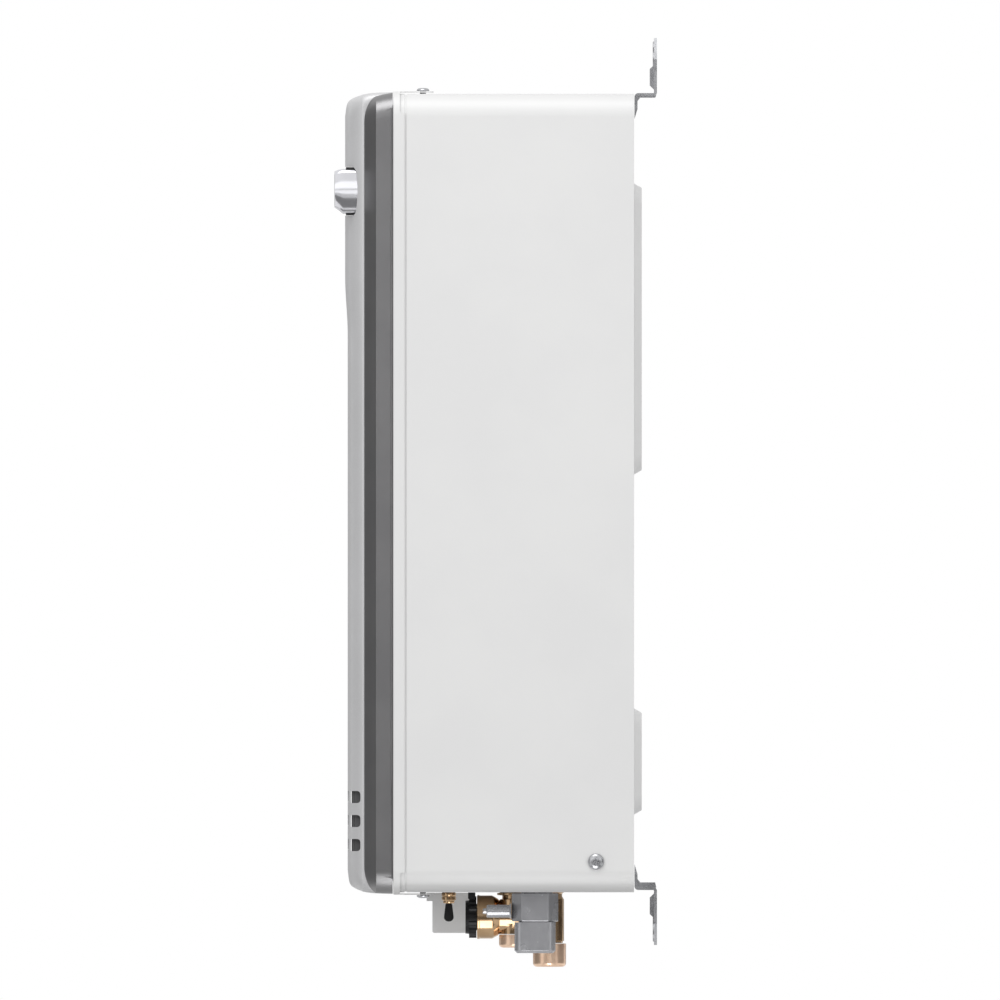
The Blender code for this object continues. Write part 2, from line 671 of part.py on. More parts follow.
def turned(profile, axis, centre, steps=TURN_STEPS):
    """A closed profile of (radius, height) spun round an axis through centre."""
    shape = bmesh.new()
    corners = [shape.verts.new(PLACE[axis](centre[0] + r, centre[1], h)) for r, h in profile]
    edges = [shape.edges.new(pair) for pair in zip(corners, corners[1:])]
    if profile[0][0] > 0.0 and profile[-1][0] > 0.0:
        edges.append(shape.edges.new((corners[-1], corners[0])))
    bmesh.ops.spin(
        shape,
        geom=corners + edges,
        cent=PLACE[axis](centre[0], centre[1], 0.0),
        axis=PLACE[axis](0.0, 0.0, 1.0),
        angle=2 * math.pi,
        steps=steps,
        use_merge=True,
    )
    bmesh.ops.remove_doubles(shape, verts=shape.verts, dist=MERGE)
    bmesh.ops.dissolve_degenerate(shape, edges=shape.edges, dist=MERGE)
    return closed_up(shape)


def loft(rings, loop=False):
    """Rings of points joined one to the next; the ends are capped, or meet in a loop."""
    shape = bmesh.new()
    rows = [[shape.verts.new(point) for point in ring] for ring in rings]
    pairs = list(zip(rows, rows[1:]))
    if loop:
        pairs.append((rows[-1], rows[0]))
    for near, far in pairs:
        for index in range(len(near)):
            after = (index + 1) % len(near)
            shape.faces.new((near[index], near[after], far[after], far[index]))
    if not loop:
        shape.faces.new(rows[0])
        shape.faces.new(rows[-1])
    return closed_up(shape)


def ring_at(outline, y):
    """An (x, z) outline standing at a depth, as points of a loft."""
    return [(u, y, v) for u, v in outline]


def together(shapes):
    """Shapes that don't touch, as one."""
    whole = bmesh.new()
    for shape in shapes:
        mesh = bpy.data.meshes.new("part")
        shape.to_mesh(mesh)
        whole.from_mesh(mesh)
        bpy.data.meshes.remove(mesh)
        shape.free()
    return whole


# Objects


def new_object(name, shape, material=None):
    mesh = bpy.data.meshes.new(name)
    shape.to_mesh(mesh)
    shape.free()
    made = bpy.data.objects.new(name, mesh)
    bpy.context.scene.collection.objects.link(made)
    if material:
        mesh.materials.append(material)
        mesh.shade_smooth()
        mesh.set_sharp_from_angle(angle=math.radians(SHARP_DEGREES))
    return made


def boolean(piece, shape, operation, what):
    tool = new_object(f"{piece.name}.{what}", shape)
    tool.hide_render = True
    tool.display_type = "WIRE"
    modifier = piece.modifiers.new(what, "BOOLEAN")
    modifier.operation = operation
    modifier.object = tool
    return piece


def cut(piece, shape, what):
    return boolean(piece, shape, "DIFFERENCE", what)


def join(piece, shape, what):
    return boolean(piece, shape, "UNION", what)


def keep(piece, shape, what):
    return boolean(piece, shape, "INTERSECT", what)


def bevelled(piece, width):
    modifier = piece.modifiers.new("edges", "BEVEL")
    modifier.width = width
    modifier.segments = 1
    modifier.limit_method = "ANGLE"
    modifier.angle_limit = math.radians(BEVEL_DEGREES)
    return piece


def moved_to(piece, place):
    """Puts a piece made about its own axis in its place, with the tools of its modifiers."""
    piece.location = place
    for modifier in piece.modifiers:
        modifier.object.location = place
    return piece


def pipe(name, points, radius, material, bevel=PIPE_BEVEL_STEPS):
    """A round bar along a route of points, with flat ends."""
    curve = bpy.data.curves.new(name, "CURVE")
    curve.dimensions = "3D"
    curve.bevel_depth = radius
    curve.bevel_resolution = bevel
    curve.use_fill_caps = True
    spline = curve.splines.new("POLY")
    spline.points.add(len(points) - 1)
    for place, point in zip(spline.points, points):
        place.co = (*point, 1.0)
    curve.materials.append(material)
    made = bpy.data.objects.new(name, curve)
    bpy.context.scene.collection.objects.link(made)
    return made


# Shapes used by more than one piece


def hole(radius, axis, centre, start, end, steps=TURN_STEPS):
    """A cutter whose flats clear a round of that radius."""
    return rod(radius / math.cos(math.pi / steps), axis, centre, start, end, steps)


def strip(path, thickness):
    """The outline of a sheet bent along a path in its plane."""
    route = [Vector(point) for point in path]
    near, far = [], []
    for index, point in enumerate(route):
        ahead = (route[min(index + 1, len(route) - 1)] - point).normalized()
        behind = (point - route[max(index - 1, 0)]).normalized()
        along = (ahead + behind).normalized()
        side = Vector((-along.y, along.x))
        reach = thickness / 2 / max(ahead.dot(along), behind.dot(along))
        near.append(tuple(point + side * reach))
        far.append(tuple(point - side * reach))
    return near + far[::-1]


def frustum(near, far, start, end, centre):
    """Two rounded boxes, each (half width, half height, corner), joined between two depths."""
    rings = []
    for (half_u, half_v, corner), y in [(near, start), (far, end)]:
        rings.append(ring_at(shifted(rounded_box(half_u, half_v, corner, BEND_STEPS), *centre), y))
    return loft(rings)


def frame_loop(outer, inner, start, end, centre):
    """A flat frame between two outlines, running from one depth to another."""
    rings = []
    for outline, y in [(outer, start), (outer, end), (inner, end), (inner, start)]:
        rings.append(ring_at(shifted(outline, *centre), y))
    return loft(rings, loop=True)


def tube_box(half_x, half_y, corner, wall, low, high, y):
    """An upright rounded tube of sheet, open at both ends."""
    outer = shifted(rounded_box(half_x, half_y, corner), 0.0, y)
    inner = shifted(rounded_box(half_x - wall, half_y - wall, corner - wall), 0.0, y)
    rings = []
    for outline, z in [(outer, low), (outer, high), (inner, high), (inner, low)]:
        rings.append([(u, v, z) for u, v in outline])
    return loft(rings, loop=True)


def screw(axis, place, seat, outward, head, height, length):
    """A pan-head screw: its head stands outward of the seat, its shank goes the other way."""
    profile = [
        (0.0, -length),
        (SCREW_SHANK, -length),
        (SCREW_SHANK, 0.0),
        (head, 0.0),
        (head * HEAD_SHOULDER_SHARE, height * HEAD_SHOULDER_RISE_SHARE),
        (head * HEAD_CROWN_SHARE, height),
        (0.0, height),
    ]
    return turned([(r, seat + outward * h) for r, h in profile], axis, place, SMALL_TURN_STEPS)


def cross(axis, place, seat, outward, head, height):
    """A cutter for the cross in a screw's head."""
    arm = head * CROSS_ARM_SHARE
    half = head * CROSS_HALF_SHARE
    outline = [
        (arm, half), (half, half), (half, arm), (-half, arm), (-half, half), (-arm, half),
        (-arm, -half), (-half, -half), (-half, -arm), (half, -arm), (half, -half), (arm, -half),
    ]
    floor = seat + outward * height * CROSS_FLOOR_SHARE
    return prism(shifted(outline, *place), axis, floor, seat + outward * height * 2)


def screw_object(name, axis, place, head, height, finish):
    """A screw at ((u, v), seat, outward)."""
    return new_object(name, screw(axis, *place, head, height, SCREW_LENGTH), finish)


# Case


def bottom_holes():
    """Cutters for what passes through the case's floor."""
    low = CASE_BOTTOM - OVERRUN
    high = INNER_FLOOR + OVERRUN
    return together([
        hole(COLUMN_RADIUS + SLIP, "Z", (GAS_X, GAS_Y), low, high),
        hole(COLUMN_RADIUS + SLIP, "Z", (COLD_X, COLD_Y), low, high),
        hole(HOT_BODY_RADIUS + SLIP, "Z", (HOT_X, HOT_Y), low, high),
        hole(DRAIN_BODY_HALF + SLIP, "Z", (DRAIN_X, DRAIN_Y), low, high, HOLE_STEPS),
        hole(CONDUIT_HOLE, "Z", (JUNCTION_CENTRE_X, JUNCTION_MIDDLE), low, high, HOLE_STEPS),
    ])


def side_seats():
    seat = CASE_WIDTH / 2 + FIT
    z = CASE_BOTTOM + SIDE_SCREW_RISE
    return [((CASE_BACK - SIDE_SCREW_DEPTH, z), side * seat, side) for side in (-1, 1)]


def cover_seats():
    """Places of the screws through the cover's tabs, over and under the case."""
    seat = COVER_HALF_HEIGHT + FIT
    y = RIM_REAR + TAB_HOLE_DEPTH
    across = (-TAB_SPREAD, TAB_SPREAD)
    return [((x, y), CASE_MIDDLE + side * seat, side) for side in (-1, 1) for x in across]


def case_wrap(finish):
    """The hoop of sheet round the case, with a flange turned in at its mouth."""
    half_width = CASE_WIDTH / 2
    half_height = CASE_HEIGHT / 2
    insets = [
        (0.0, CASE_BACK), (0.0, CASE_FRONT), (CASE_SHEET + CASE_FLANGE, CASE_FRONT),
        (CASE_SHEET + CASE_FLANGE, CASE_FRONT + CASE_SHEET), (CASE_SHEET, CASE_FRONT + CASE_SHEET),
        (CASE_SHEET, CASE_BACK),
    ]
    rings = []
    for inset, y in insets:
        outline = rounded_box(half_width - inset, half_height - inset, CASE_CORNER - inset)
        rings.append(ring_at(shifted(outline, 0.0, CASE_MIDDLE), y))
    piece = new_object("case_wrap", loft(rings, loop=True), finish)
    cut(piece, bottom_holes(), "floor holes")
    bore = SCREW_SHANK + SLIP
    place, seat, _ = side_seats()[-1]
    bores = [hole(bore, "X", place, -seat - OVERRUN, seat + OVERRUN, SMALL_TURN_STEPS)]
    for place, seat, side in cover_seats():
        near, far = seat - side * OVERRUN * 2, seat + side * OVERRUN
        bores.append(hole(bore, "Z", place, near, far, SMALL_TURN_STEPS))
    return cut(piece, together(bores), "screw holes")


def back_plate(finish):
    """The case's back, pressed out in two pads."""
    inset = CASE_SHEET + FIT
    outline = rounded_box(CASE_WIDTH / 2 - inset, CASE_HEIGHT / 2 - inset, CASE_CORNER - inset)
    piece = new_object(
        "back_plate", prism(shifted(outline, 0.0, CASE_MIDDLE), "Y", INNER_BACK, CASE_BACK), finish
    )
    skins, hollows = [], []
    for top, length in [
        (CASE_TOP - UPPER_PAD_DROP, UPPER_PAD_LENGTH),
        (CASE_BOTTOM + LOWER_PAD_RISE + LOWER_PAD_LENGTH, LOWER_PAD_LENGTH),
    ]:
        centre = (0.0, top - length / 2)
        foot = (PAD_HALF_WIDTH, length / 2, PAD_CORNER)
        slope = PAD_HEIGHT * 0.7
        crown = tuple(size - slope for size in foot)
        skins.append(frustum(foot, crown, INNER_BACK + CASE_SHEET / 2, CASE_BACK + PAD_HEIGHT, centre))
        foot = tuple(size - CASE_SHEET for size in foot)
        crown = tuple(size - CASE_SHEET for size in crown)
        hollows.append(
            frustum(foot, crown, INNER_BACK - OVERRUN, CASE_BACK + PAD_HEIGHT - CASE_SHEET, centre)
        )
    join(piece, together(skins), "pads")
    return cut(piece, together(hollows), "hollows")


def bracket(name, end, way, finish):
    """A Z of sheet from the case's back to the wall, with a keyhole in its wall leg."""
    case_face = CASE_BACK + FIT + BRACKET_SHEET / 2
    level = end - way * BRACKET_SHEET / 2
    path = [
        (case_face, end - way * BRACKET_CASE_LEG), (case_face, level),
        (-BRACKET_SHEET / 2, level), (-BRACKET_SHEET / 2, end + way * BRACKET_WALL_LEG),
    ]
    outline = strip(filleted(path, BRACKET_BEND, closed=False), BRACKET_SHEET)
    half = BRACKET_WIDTH / 2
    piece = new_object(name, prism(outline, "X", -half, half), finish)
    low = end + way * BRACKET_SHEET
    high = low + way * BRACKET_LIP_LENGTH
    lip = [
        (-BRACKET_SHEET / 2, low), (-BRACKET_LIP, low + way * BRACKET_LIP_TAPER),
        (-BRACKET_LIP, high - way * BRACKET_LIP_TAPER), (-BRACKET_SHEET / 2, high),
    ]
    reach = half - BRACKET_CORNER_CUT
    lips = [prism(lip, "X", side * reach, side * (reach - BRACKET_SHEET)) for side in (-1, 1)]
    join(piece, together(lips), "lips")
    top = end + way * (BRACKET_WALL_LEG + OVERRUN)
    foot = end - way * (BRACKET_CASE_LEG + OVERRUN)
    corner = BRACKET_CORNER_CUT + OVERRUN
    shape = [
        (half + OVERRUN, top - way * corner), (half - corner + OVERRUN, top), (corner - OVERRUN - half, top),
        (-half - OVERRUN, top - way * corner), (-half - OVERRUN, foot + way * corner / 2),
        (corner - half, foot), (half - corner, foot), (half + OVERRUN, foot + way * corner / 2),
    ]
    keep(piece, prism(shape, "Y", CASE_BACK - OVERRUN, OVERRUN), "corners")
    slot_end = end + way * (BRACKET_WALL_LEG - KEYHOLE_END_MARGIN - KEYHOLE_SLOT)
    mouth = slot_end - way * KEYHOLE_LENGTH
    sheet = (-BRACKET_SHEET - OVERRUN, OVERRUN)
    cutters = [rod(KEYHOLE_SLOT, "Y", (0.0, slot_end), *sheet, HOLE_STEPS)]
    for side in (-1, 1):
        place = (side * BRACKET_HOLE_SPREAD, mouth)
        cutters.append(rod(BRACKET_HOLE, "Y", place, *sheet, HOLE_STEPS))
    cut(piece, together(cutters), "holes")
    slot = box_outline(-KEYHOLE_SLOT, min(slot_end, mouth), KEYHOLE_SLOT, max(slot_end, mouth))
    cut(piece, prism(slot, "Y", *sheet), "slot")
    return cut(piece, rod(KEYHOLE_MOUTH, "Y", (0.0, mouth), *sheet, HOLE_STEPS), "mouth")


# Cover


def front_cover(finish):
    """A drawn pan: a rim that laps the case, a flat band for the gasket and a raised middle."""
    rows = [
        (COVER_HALF_WIDTH, COVER_HALF_HEIGHT, COVER_CORNER, RIM_REAR, 0.0),
        (COVER_HALF_WIDTH, COVER_HALF_HEIGHT, COVER_CORNER, RIM_FRONT, COVER_SHEET),
        (
            PANEL_HALF_WIDTH - PAN_INSET, COVER_HALF_HEIGHT - PAN_END_INSET,
            PAN_CORNER, RIM_FRONT, COVER_SHEET,
        ),
        (
            PANEL_HALF_WIDTH - PAN_INSET, COVER_HALF_HEIGHT - PAN_END_INSET,
            PAN_CORNER, PAN_FRONT, COVER_SHEET,
        ),
    ]
    outside, inside = [], []
    for half_u, half_v, corner, y, back in rows:
        outline = rounded_box(half_u, half_v, corner)
        outside.append(ring_at(shifted(outline, 0.0, CASE_MIDDLE), y))
        inset = rounded_box(half_u - COVER_SHEET, half_v - COVER_SHEET, corner - COVER_SHEET)
        inside.append(ring_at(shifted(inset, 0.0, CASE_MIDDLE), y + back))
    piece = new_object("front_cover", loft(outside[::-1] + inside), finish)
    tabs, slots = [], []
    end = RIM_REAR + TAB_LENGTH
    for (x, y), _, side in cover_seats():
        outer = CASE_MIDDLE + side * COVER_HALF_HEIGHT
        low, high = sorted((outer, outer - side * COVER_SHEET))
        half = TAB_WIDTH / 2
        tabs.append(block((x - half, RIM_REAR - COVER_LAP / 2, low), (x + half, end, high)))
        half = TAB_SLOT
        slots.append(block((x - half, y - half, low - OVERRUN), (x + half, end + OVERRUN, high + OVERRUN)))
    join(piece, together(tabs), "tabs")
    cut(piece, together(slots + rim_notches()), "slots and notches")
    front, rear = PAN_FRONT - OVERRUN, PAN_FRONT + COVER_SHEET + OVERRUN
    outlet = rounded_outlet(OUTLET_HALF_WIDTH - OUTLET_WALL - DUCT_GAP, OUTLET_HALF_HEIGHT - OUTLET_WALL)
    openings = [prism(outlet, "Y", front, rear)]
    low, high = vent_levels()
    inner, outer = vent_columns()[0] - VENT_WIDTH / 2, vent_columns()[-1] + VENT_WIDTH / 2
    for side in (-1, 1):
        near, far = sorted((side * inner, side * outer))
        openings.append(block((near, front, low), (far, rear, high)))
    return cut(piece, together(openings), "openings")


def rim_notches():
    """Cutters that draw the rim's rear edge in at each corner of the cover."""
    notches = []
    rear = RIM_REAR + OVERRUN
    for side in (-1, 1):
        near, far = COVER_HALF_WIDTH - RIM_NOTCH_LENGTH, COVER_HALF_WIDTH + OVERRUN
        left, right = sorted((side * near, side * far))
        for end in (-1, 1):
            near, far = COVER_HALF_HEIGHT - RIM_NOTCH_LENGTH, COVER_HALF_HEIGHT + OVERRUN
            low, high = sorted((CASE_MIDDLE + end * near, CASE_MIDDLE + end * far))
            notches.append(block((left, RIM_REAR - RIM_NOTCH, low), (right, rear, high)))
    return notches


def vent_levels():
    """The lowest and highest edges of the rows of intake slots."""
    low = CASE_BOTTOM + VENT_FIRST_RISE - VENT_HEIGHT / 2
    return low, low + VENT_PITCH * (VENT_ROWS - 1) + VENT_HEIGHT


def vent_columns():
    """How far from the middle each column of slots stands, nearest first."""
    first = PANEL_HALF_WIDTH - VENT_FIRST_INSET
    return [first - VENT_SPACING * index for index in range(VENT_COLUMNS)][::-1]


def rounded_outlet(half_width, half_height):
    """A long rounded outline at the outlet's height."""
    outline = rounded_box(half_width, half_height, OUTLET_CORNER, BEND_STEPS)
    return shifted(outline, 0.0, OUTLET_Z)


def cover_gasket(finish):
    """A foam ring between the case's mouth and the cover."""
    edge = CASE_SHEET / 2
    outer = rounded_box(CASE_WIDTH / 2 - edge, CASE_HEIGHT / 2 - edge, CASE_CORNER - edge)
    edge += GASKET_WIDTH
    inner = rounded_box(CASE_WIDTH / 2 - edge, CASE_HEIGHT / 2 - edge, CASE_CORNER - edge)
    rear = CASE_FRONT - FIT
    return new_object(
        "cover_gasket", frame_loop(outer, inner, rear, rear - GASKET_THICKNESS, (0.0, CASE_MIDDLE)), finish
    )


def panel_rings(wall, every):
    """The panel's outlines from rear to front, inset by a wall; inside, not every one is needed."""
    rings = []
    for depth, side, end, round_share in PANEL_SECTION_SHARES[::every]:
        outline = rounded_box(
            PANEL_HALF_WIDTH - wall - side * PANEL_ROUND_X,
            COVER_HALF_HEIGHT - PANEL_INSET - wall - end * PANEL_ROUND_Z,
            PANEL_CORNER * round_share - wall,
        )
        y = PANEL_REAR - depth * (PANEL_DEPTH - wall)
        rings.append(ring_at(shifted(outline, 0.0, CASE_MIDDLE), y))
    return rings


def eased(share):
    """A share from 0 to 1 that leaves and arrives level."""
    return share * share * (3 - 2 * share)


def raise_brow(shape):
    """Lifts the upper part of the panel's face a little, fading into the rest."""
    start = CASE_TOP - BROW_DROP - BROW_FADE
    for share in BROW_STEP_SHARES:
        geometry = shape.verts[:] + shape.edges[:] + shape.faces[:]
        level = (0.0, 0.0, start + BROW_FADE * share)
        bmesh.ops.bisect_plane(
            shape, geom=geometry, plane_co=level, plane_no=(0.0, 0.0, 1.0), dist=MERGE
        )
    flank = PANEL_REAR - PANEL_DEPTH * PANEL_SECTION_SHARES[2][0]
    for corner in shape.verts:
        rise = min(max((corner.co.z - start) / BROW_FADE, 0.0), 1.0)
        out = min(max((flank - corner.co.y) / (flank - PANEL_FRONT), 0.0), 1.0)
        corner.co.y -= BROW_HEIGHT * out * eased(rise)
    return shape


def front_panel(finish):
    """The pale moulding over the pan, with the outlet's opening and the intake slots."""
    shape = loft(panel_rings(0.0, 1)[::-1] + panel_rings(PANEL_WALL, 2))
    piece = new_object("front_panel", raise_brow(shape), finish)
    gap = DUCT_GAP
    front = PANEL_FRONT - BROW_HEIGHT - OVERRUN
    outlet = prism(
        rounded_outlet(OUTLET_HALF_WIDTH + gap, OUTLET_HALF_HEIGHT + gap), "Y", front, PAN_FRONT + OVERRUN
    )
    cut(piece, outlet, "outlet opening")
    slots = []
    for row in range(VENT_ROWS):
        z = vent_levels()[0] + row * VENT_PITCH
        for side in (-1, 1):
            for x in vent_columns():
                low, high = sorted((side * x - VENT_WIDTH / 2, side * x + VENT_WIDTH / 2))
                slots.append(block((low, front, z), (high, PAN_FRONT - OVERRUN, z + VENT_HEIGHT)))
            near = side * (PANEL_HALF_WIDTH - VENT_SIDE_WIDTH)
            low, high = sorted((near, side * (PANEL_HALF_WIDTH + OVERRUN)))
            y = PANEL_FRONT + VENT_SIDE_SETBACK
            slots.append(block((low, y, z), (high, y + VENT_SIDE_DEPTH, z + VENT_HEIGHT)))
    return cut(piece, together(slots), "intake slots")


def side_trim(name, side, finish):
    """A dark moulding beside the panel: the side of the cover's front and its slanted edge."""
    outside, inside = [], []
    half_width = COVER_HALF_WIDTH - TRIM_INSET
    half_height = COVER_HALF_HEIGHT - TRIM_INSET
    rows = [
        (half_width, half_height, COVER_CORNER, TRIM_REAR, 0.0),
        (half_width, half_height, COVER_CORNER, TRIM_BEND, TRIM_WALL / 2),
        (PANEL_HALF_WIDTH + FIT, half_height - TRIM_END_INSET, COVER_CORNER, TRIM_FRONT, TRIM_WALL),
    ]
    for half_u, half_v, corner, y, back in rows:
        outline = rounded_box(half_u, half_v, corner)
        outside.append(ring_at(shifted(outline, 0.0, CASE_MIDDLE), y))
        inset = rounded_box(half_u - TRIM_WALL, half_v - TRIM_WALL, corner - TRIM_WALL)
        inside.append(ring_at(shifted(inset, 0.0, CASE_MIDDLE), y + back))
    piece = new_object(name, loft(outside[::-1] + inside), finish)
    near = PANEL_HALF_WIDTH + FIT
    low, high = sorted((side * near, side * (COVER_HALF_WIDTH + OVERRUN)))
    reach = CASE_HEIGHT / 2 + OVERRUN
    span = (CASE_MIDDLE - reach, CASE_MIDDLE + reach)
    keep(piece, block((low, TRIM_FRONT - OVERRUN, span[0]), (high, TRIM_REAR + OVERRUN, span[1])), "side")
    notches = []
    for z in (CASE_TOP - TRIM_NOTCH_DROP, CASE_BOTTOM + TRIM_NOTCH_RISE):
        low, high = sorted((side * (half_width - TRIM_WALL - OVERRUN), side * (half_width + OVERRUN)))
        notches.append(block(
            (low, TRIM_REAR - TRIM_NOTCH, z - TRIM_NOTCH_LENGTH / 2),
            (high, TRIM_REAR + OVERRUN, z + TRIM_NOTCH_LENGTH / 2),
        ))
    return cut(piece, together(notches), "notches")


def outlet_frame(finish):
    """The bright frame round the exhaust outlet, with its front edge drawn in."""
    width, height, wall = OUTLET_HALF_WIDTH, OUTLET_HALF_HEIGHT, OUTLET_WALL
    lip = OUTLET_FRONT + OUTLET_LIP_DEPTH
    outer = rounded_outlet(width, height)
    inner = rounded_outlet(width - wall, height - wall)
    drawn = []
    for u, v in outer:
        above = v > OUTLET_Z
        drop = OUTLET_LIP_LIFT if above else -OUTLET_LIP_INSET
        drawn.append((u * (1 - OUTLET_LIP_LIFT / width), v - drop))
    mouth = [
        (u * (1 - OUTLET_LIP_LIFT / width), v if v > OUTLET_Z else v + OUTLET_LIP_INSET - wall / 2)
        for u, v in inner
    ]
    rings = [
        (outer, PAN_FRONT - FIT), (outer, lip), (drawn, OUTLET_FRONT), (mouth, OUTLET_FRONT),
        (inner, lip), (inner, PAN_FRONT - FIT),
    ]
    return new_object("outlet_frame", loft([ring_at(line, y) for line, y in rings], loop=True), finish)


def outlet_grille(finish):
    """Upright vanes in a thin border, set back in the outlet."""
    width = OUTLET_HALF_WIDTH - OUTLET_WALL - FIT
    height = OUTLET_HALF_HEIGHT - OUTLET_WALL - FIT
    front = OUTLET_FRONT + OUTLET_LIP_DEPTH + GRILLE_RECESS
    border = GRILLE_BORDER
    outer = rounded_outlet(width, height)
    inner = rounded_box(width - border, height - border, OUTLET_CORNER - border, BEND_STEPS)
    frame = frame_loop(outer, shifted(inner, 0.0, OUTLET_Z), front, front + GRILLE_DEPTH, (0.0, 0.0))
    piece = new_object("outlet_grille", frame, finish)
    vanes = []
    reach = height - border / 2
    for index in range(VANE_COUNT):
        x = (index - (VANE_COUNT - 1) / 2) * 2 * width / (VANE_COUNT + 1)
        vanes.append(block(
            (x - VANE_THICKNESS / 2, front + FIT, OUTLET_Z - reach),
            (x + VANE_THICKNESS / 2, front + GRILLE_DEPTH - FIT, OUTLET_Z + reach),
        ))
    return join(piece, together(vanes), "vanes")


# Combustion pieces


def duct_rings(half_width, half_height):
    """The exhaust duct's outlines: it widens ahead of the hood, then runs straight."""
    face = EXCHANGER_Y - EXCHANGER_HALF_DEPTH
    narrow = (EXCHANGER_HALF_WIDTH - CASE_FLANGE) / (OUTLET_HALF_WIDTH - OUTLET_WALL)
    corner = OUTLET_CORNER / 2
    rings = []
    for y, share in [(face, narrow), (face - FLARE_LENGTH, 1.0), (PANEL_FRONT_DUCT, 1.0)]:
        outline = rounded_box(half_width * share, half_height, corner, BEND_STEPS)
        rings.append(ring_at(shifted(outline, 0.0, OUTLET_Z), y))
    return rings


def exhaust_hood(finish):
    """A box over the exchanger whose duct passes through the cover into the outlet."""
    levels = [
        (EXCHANGER_TOP + FIT, 0.0, 0.0), (HOOD_TOP - HOOD_SLOPE, 0.0, 0.0),
        (HOOD_TOP, HOOD_SLOPE / 2, HOOD_SHEET),
    ]
    outside, inside = [], []
    for z, shrink, wall in levels:
        for rings, inset, drop in [(outside, 0.0, 0.0), (inside, HOOD_SHEET, wall)]:
            half_x = EXCHANGER_HALF_WIDTH - shrink - inset
            half_y = EXCHANGER_HALF_DEPTH - shrink / 2 - inset
            outline = rounded_box(half_x, half_y, EXCHANGER_CORNER - inset, BEND_STEPS)
            rings.append([(u, v + EXCHANGER_Y + shrink / 2, z - drop) for u, v in outline])
    piece = new_object("exhaust_hood", loft(outside[::-1] + inside), finish)
    width = OUTLET_HALF_WIDTH - OUTLET_WALL - 2 * DUCT_GAP
    height = OUTLET_HALF_HEIGHT - OUTLET_WALL - DUCT_GAP
    outer = duct_rings(width, height)
    outer[0] = [(x, y + HOOD_SHEET / 2, z) for x, y, z in outer[0]]
    join(piece, loft(outer), "duct")
    inner = duct_rings(width - HOOD_SHEET, height - HOOD_SHEET)
    inner[0] = [(x, y + HOOD_SHEET + OVERRUN, z) for x, y, z in inner[0]]
    inner[-1] = [(x, y - OVERRUN, z) for x, y, z in inner[-1]]
    return cut(piece, loft(inner), "duct bore")


def pass_levels():
    """How deep each straight pass of the exchanger's tube lies, rearmost first."""
    middle = (PASS_COUNT - 1) / 2
    return [EXCHANGER_Y + (middle - index) * PASS_PITCH for index in range(PASS_COUNT)]


def pass_bores(reach, gap):
    radius = TUBE_RADIUS + gap
    return together([
        hole(radius, "X", (y, FIN_Z), -reach, reach, SMALL_TURN_STEPS) for y in pass_levels()
    ])


def heat_exchanger_shell(finish):
    """The copper drum round the flame and the fins."""
    shape = tube_box(
        EXCHANGER_HALF_WIDTH, EXCHANGER_HALF_DEPTH, EXCHANGER_CORNER, EXCHANGER_SHEET,
        EXCHANGER_BOTTOM, EXCHANGER_TOP, EXCHANGER_Y,
    )
    piece = new_object("heat_exchanger_shell", shape, finish)
    return cut(piece, pass_bores(EXCHANGER_HALF_WIDTH + OVERRUN, SLIP), "tube holes")


def exchanger_fins(finish):
    """Thin plates across the drum, joined by collars that the tube passes through."""
    reach = EXCHANGER_HALF_DEPTH - EXCHANGER_SHEET - FIT
    fins = []
    for index in range(FIN_COUNT):
        x = (index - (FIN_COUNT - 1) / 2) * FIN_PITCH
        fins.append(block(
            (x - FIN_THICKNESS / 2, EXCHANGER_Y - reach, FIN_Z - FIN_HEIGHT / 2),
            (x + FIN_THICKNESS / 2, EXCHANGER_Y + reach, FIN_Z + FIN_HEIGHT / 2),
        ))
    piece = new_object("exchanger_fins", together(fins), finish)
    span = (FIN_PITCH * (FIN_COUNT - 1) + FIN_THICKNESS) / 2
    join(piece, pass_bores(span - FIN_THICKNESS / 4, FIT + FIN_COLLAR), "collars")
    return cut(piece, pass_bores(span + OVERRUN, FIT), "tube holes")


def exchanger_tube(finish):
    """One tube: two turns round the drum, then to and fro through the fins."""
    wide, deep = COIL_HALF_WIDTH, COIL_HALF_DEPTH
    rear, face = EXCHANGER_Y + deep, EXCHANGER_Y - deep
    route = [(wide, COIL_INLET_Y, COIL_LOW - COIL_TAIL), (wide, COIL_INLET_Y, COIL_LOW)]
    corners = [(wide, face), (-wide, face), (-wide, rear), (wide, rear)]
    count = COIL_TURNS * len(corners)
    for index in range(count):
        x, y = corners[index % len(corners)]
        route.append((x, y, COIL_LOW + COIL_PITCH * index / len(corners)))
    levels = pass_levels()
    turn = TUBE_TURN_X
    top = COIL_LOW + COIL_PITCH * COIL_TURNS
    route[-1] = (turn, rear, route[-1][2])
    route += [(turn, levels[0], top), (turn, levels[0], FIN_Z)]
    for index in range(PASS_COUNT):
        side = 1 if index % 2 else -1
        route.append((side * turn, levels[index], FIN_Z))
        if index + 1 < PASS_COUNT:
            route.append((side * turn, levels[index + 1], FIN_Z))
    route.append((-turn, levels[-1], COIL_LOW - COIL_TAIL))
    points = filleted(route, TUBE_BEND, TUBE_BEND_STEPS, closed=False)
    return pipe("exchanger_tube", points, TUBE_RADIUS, finish)


def bar_places():
    return [(index - (BAR_COUNT - 1) / 2) * BAR_PITCH for index in range(BAR_COUNT)]


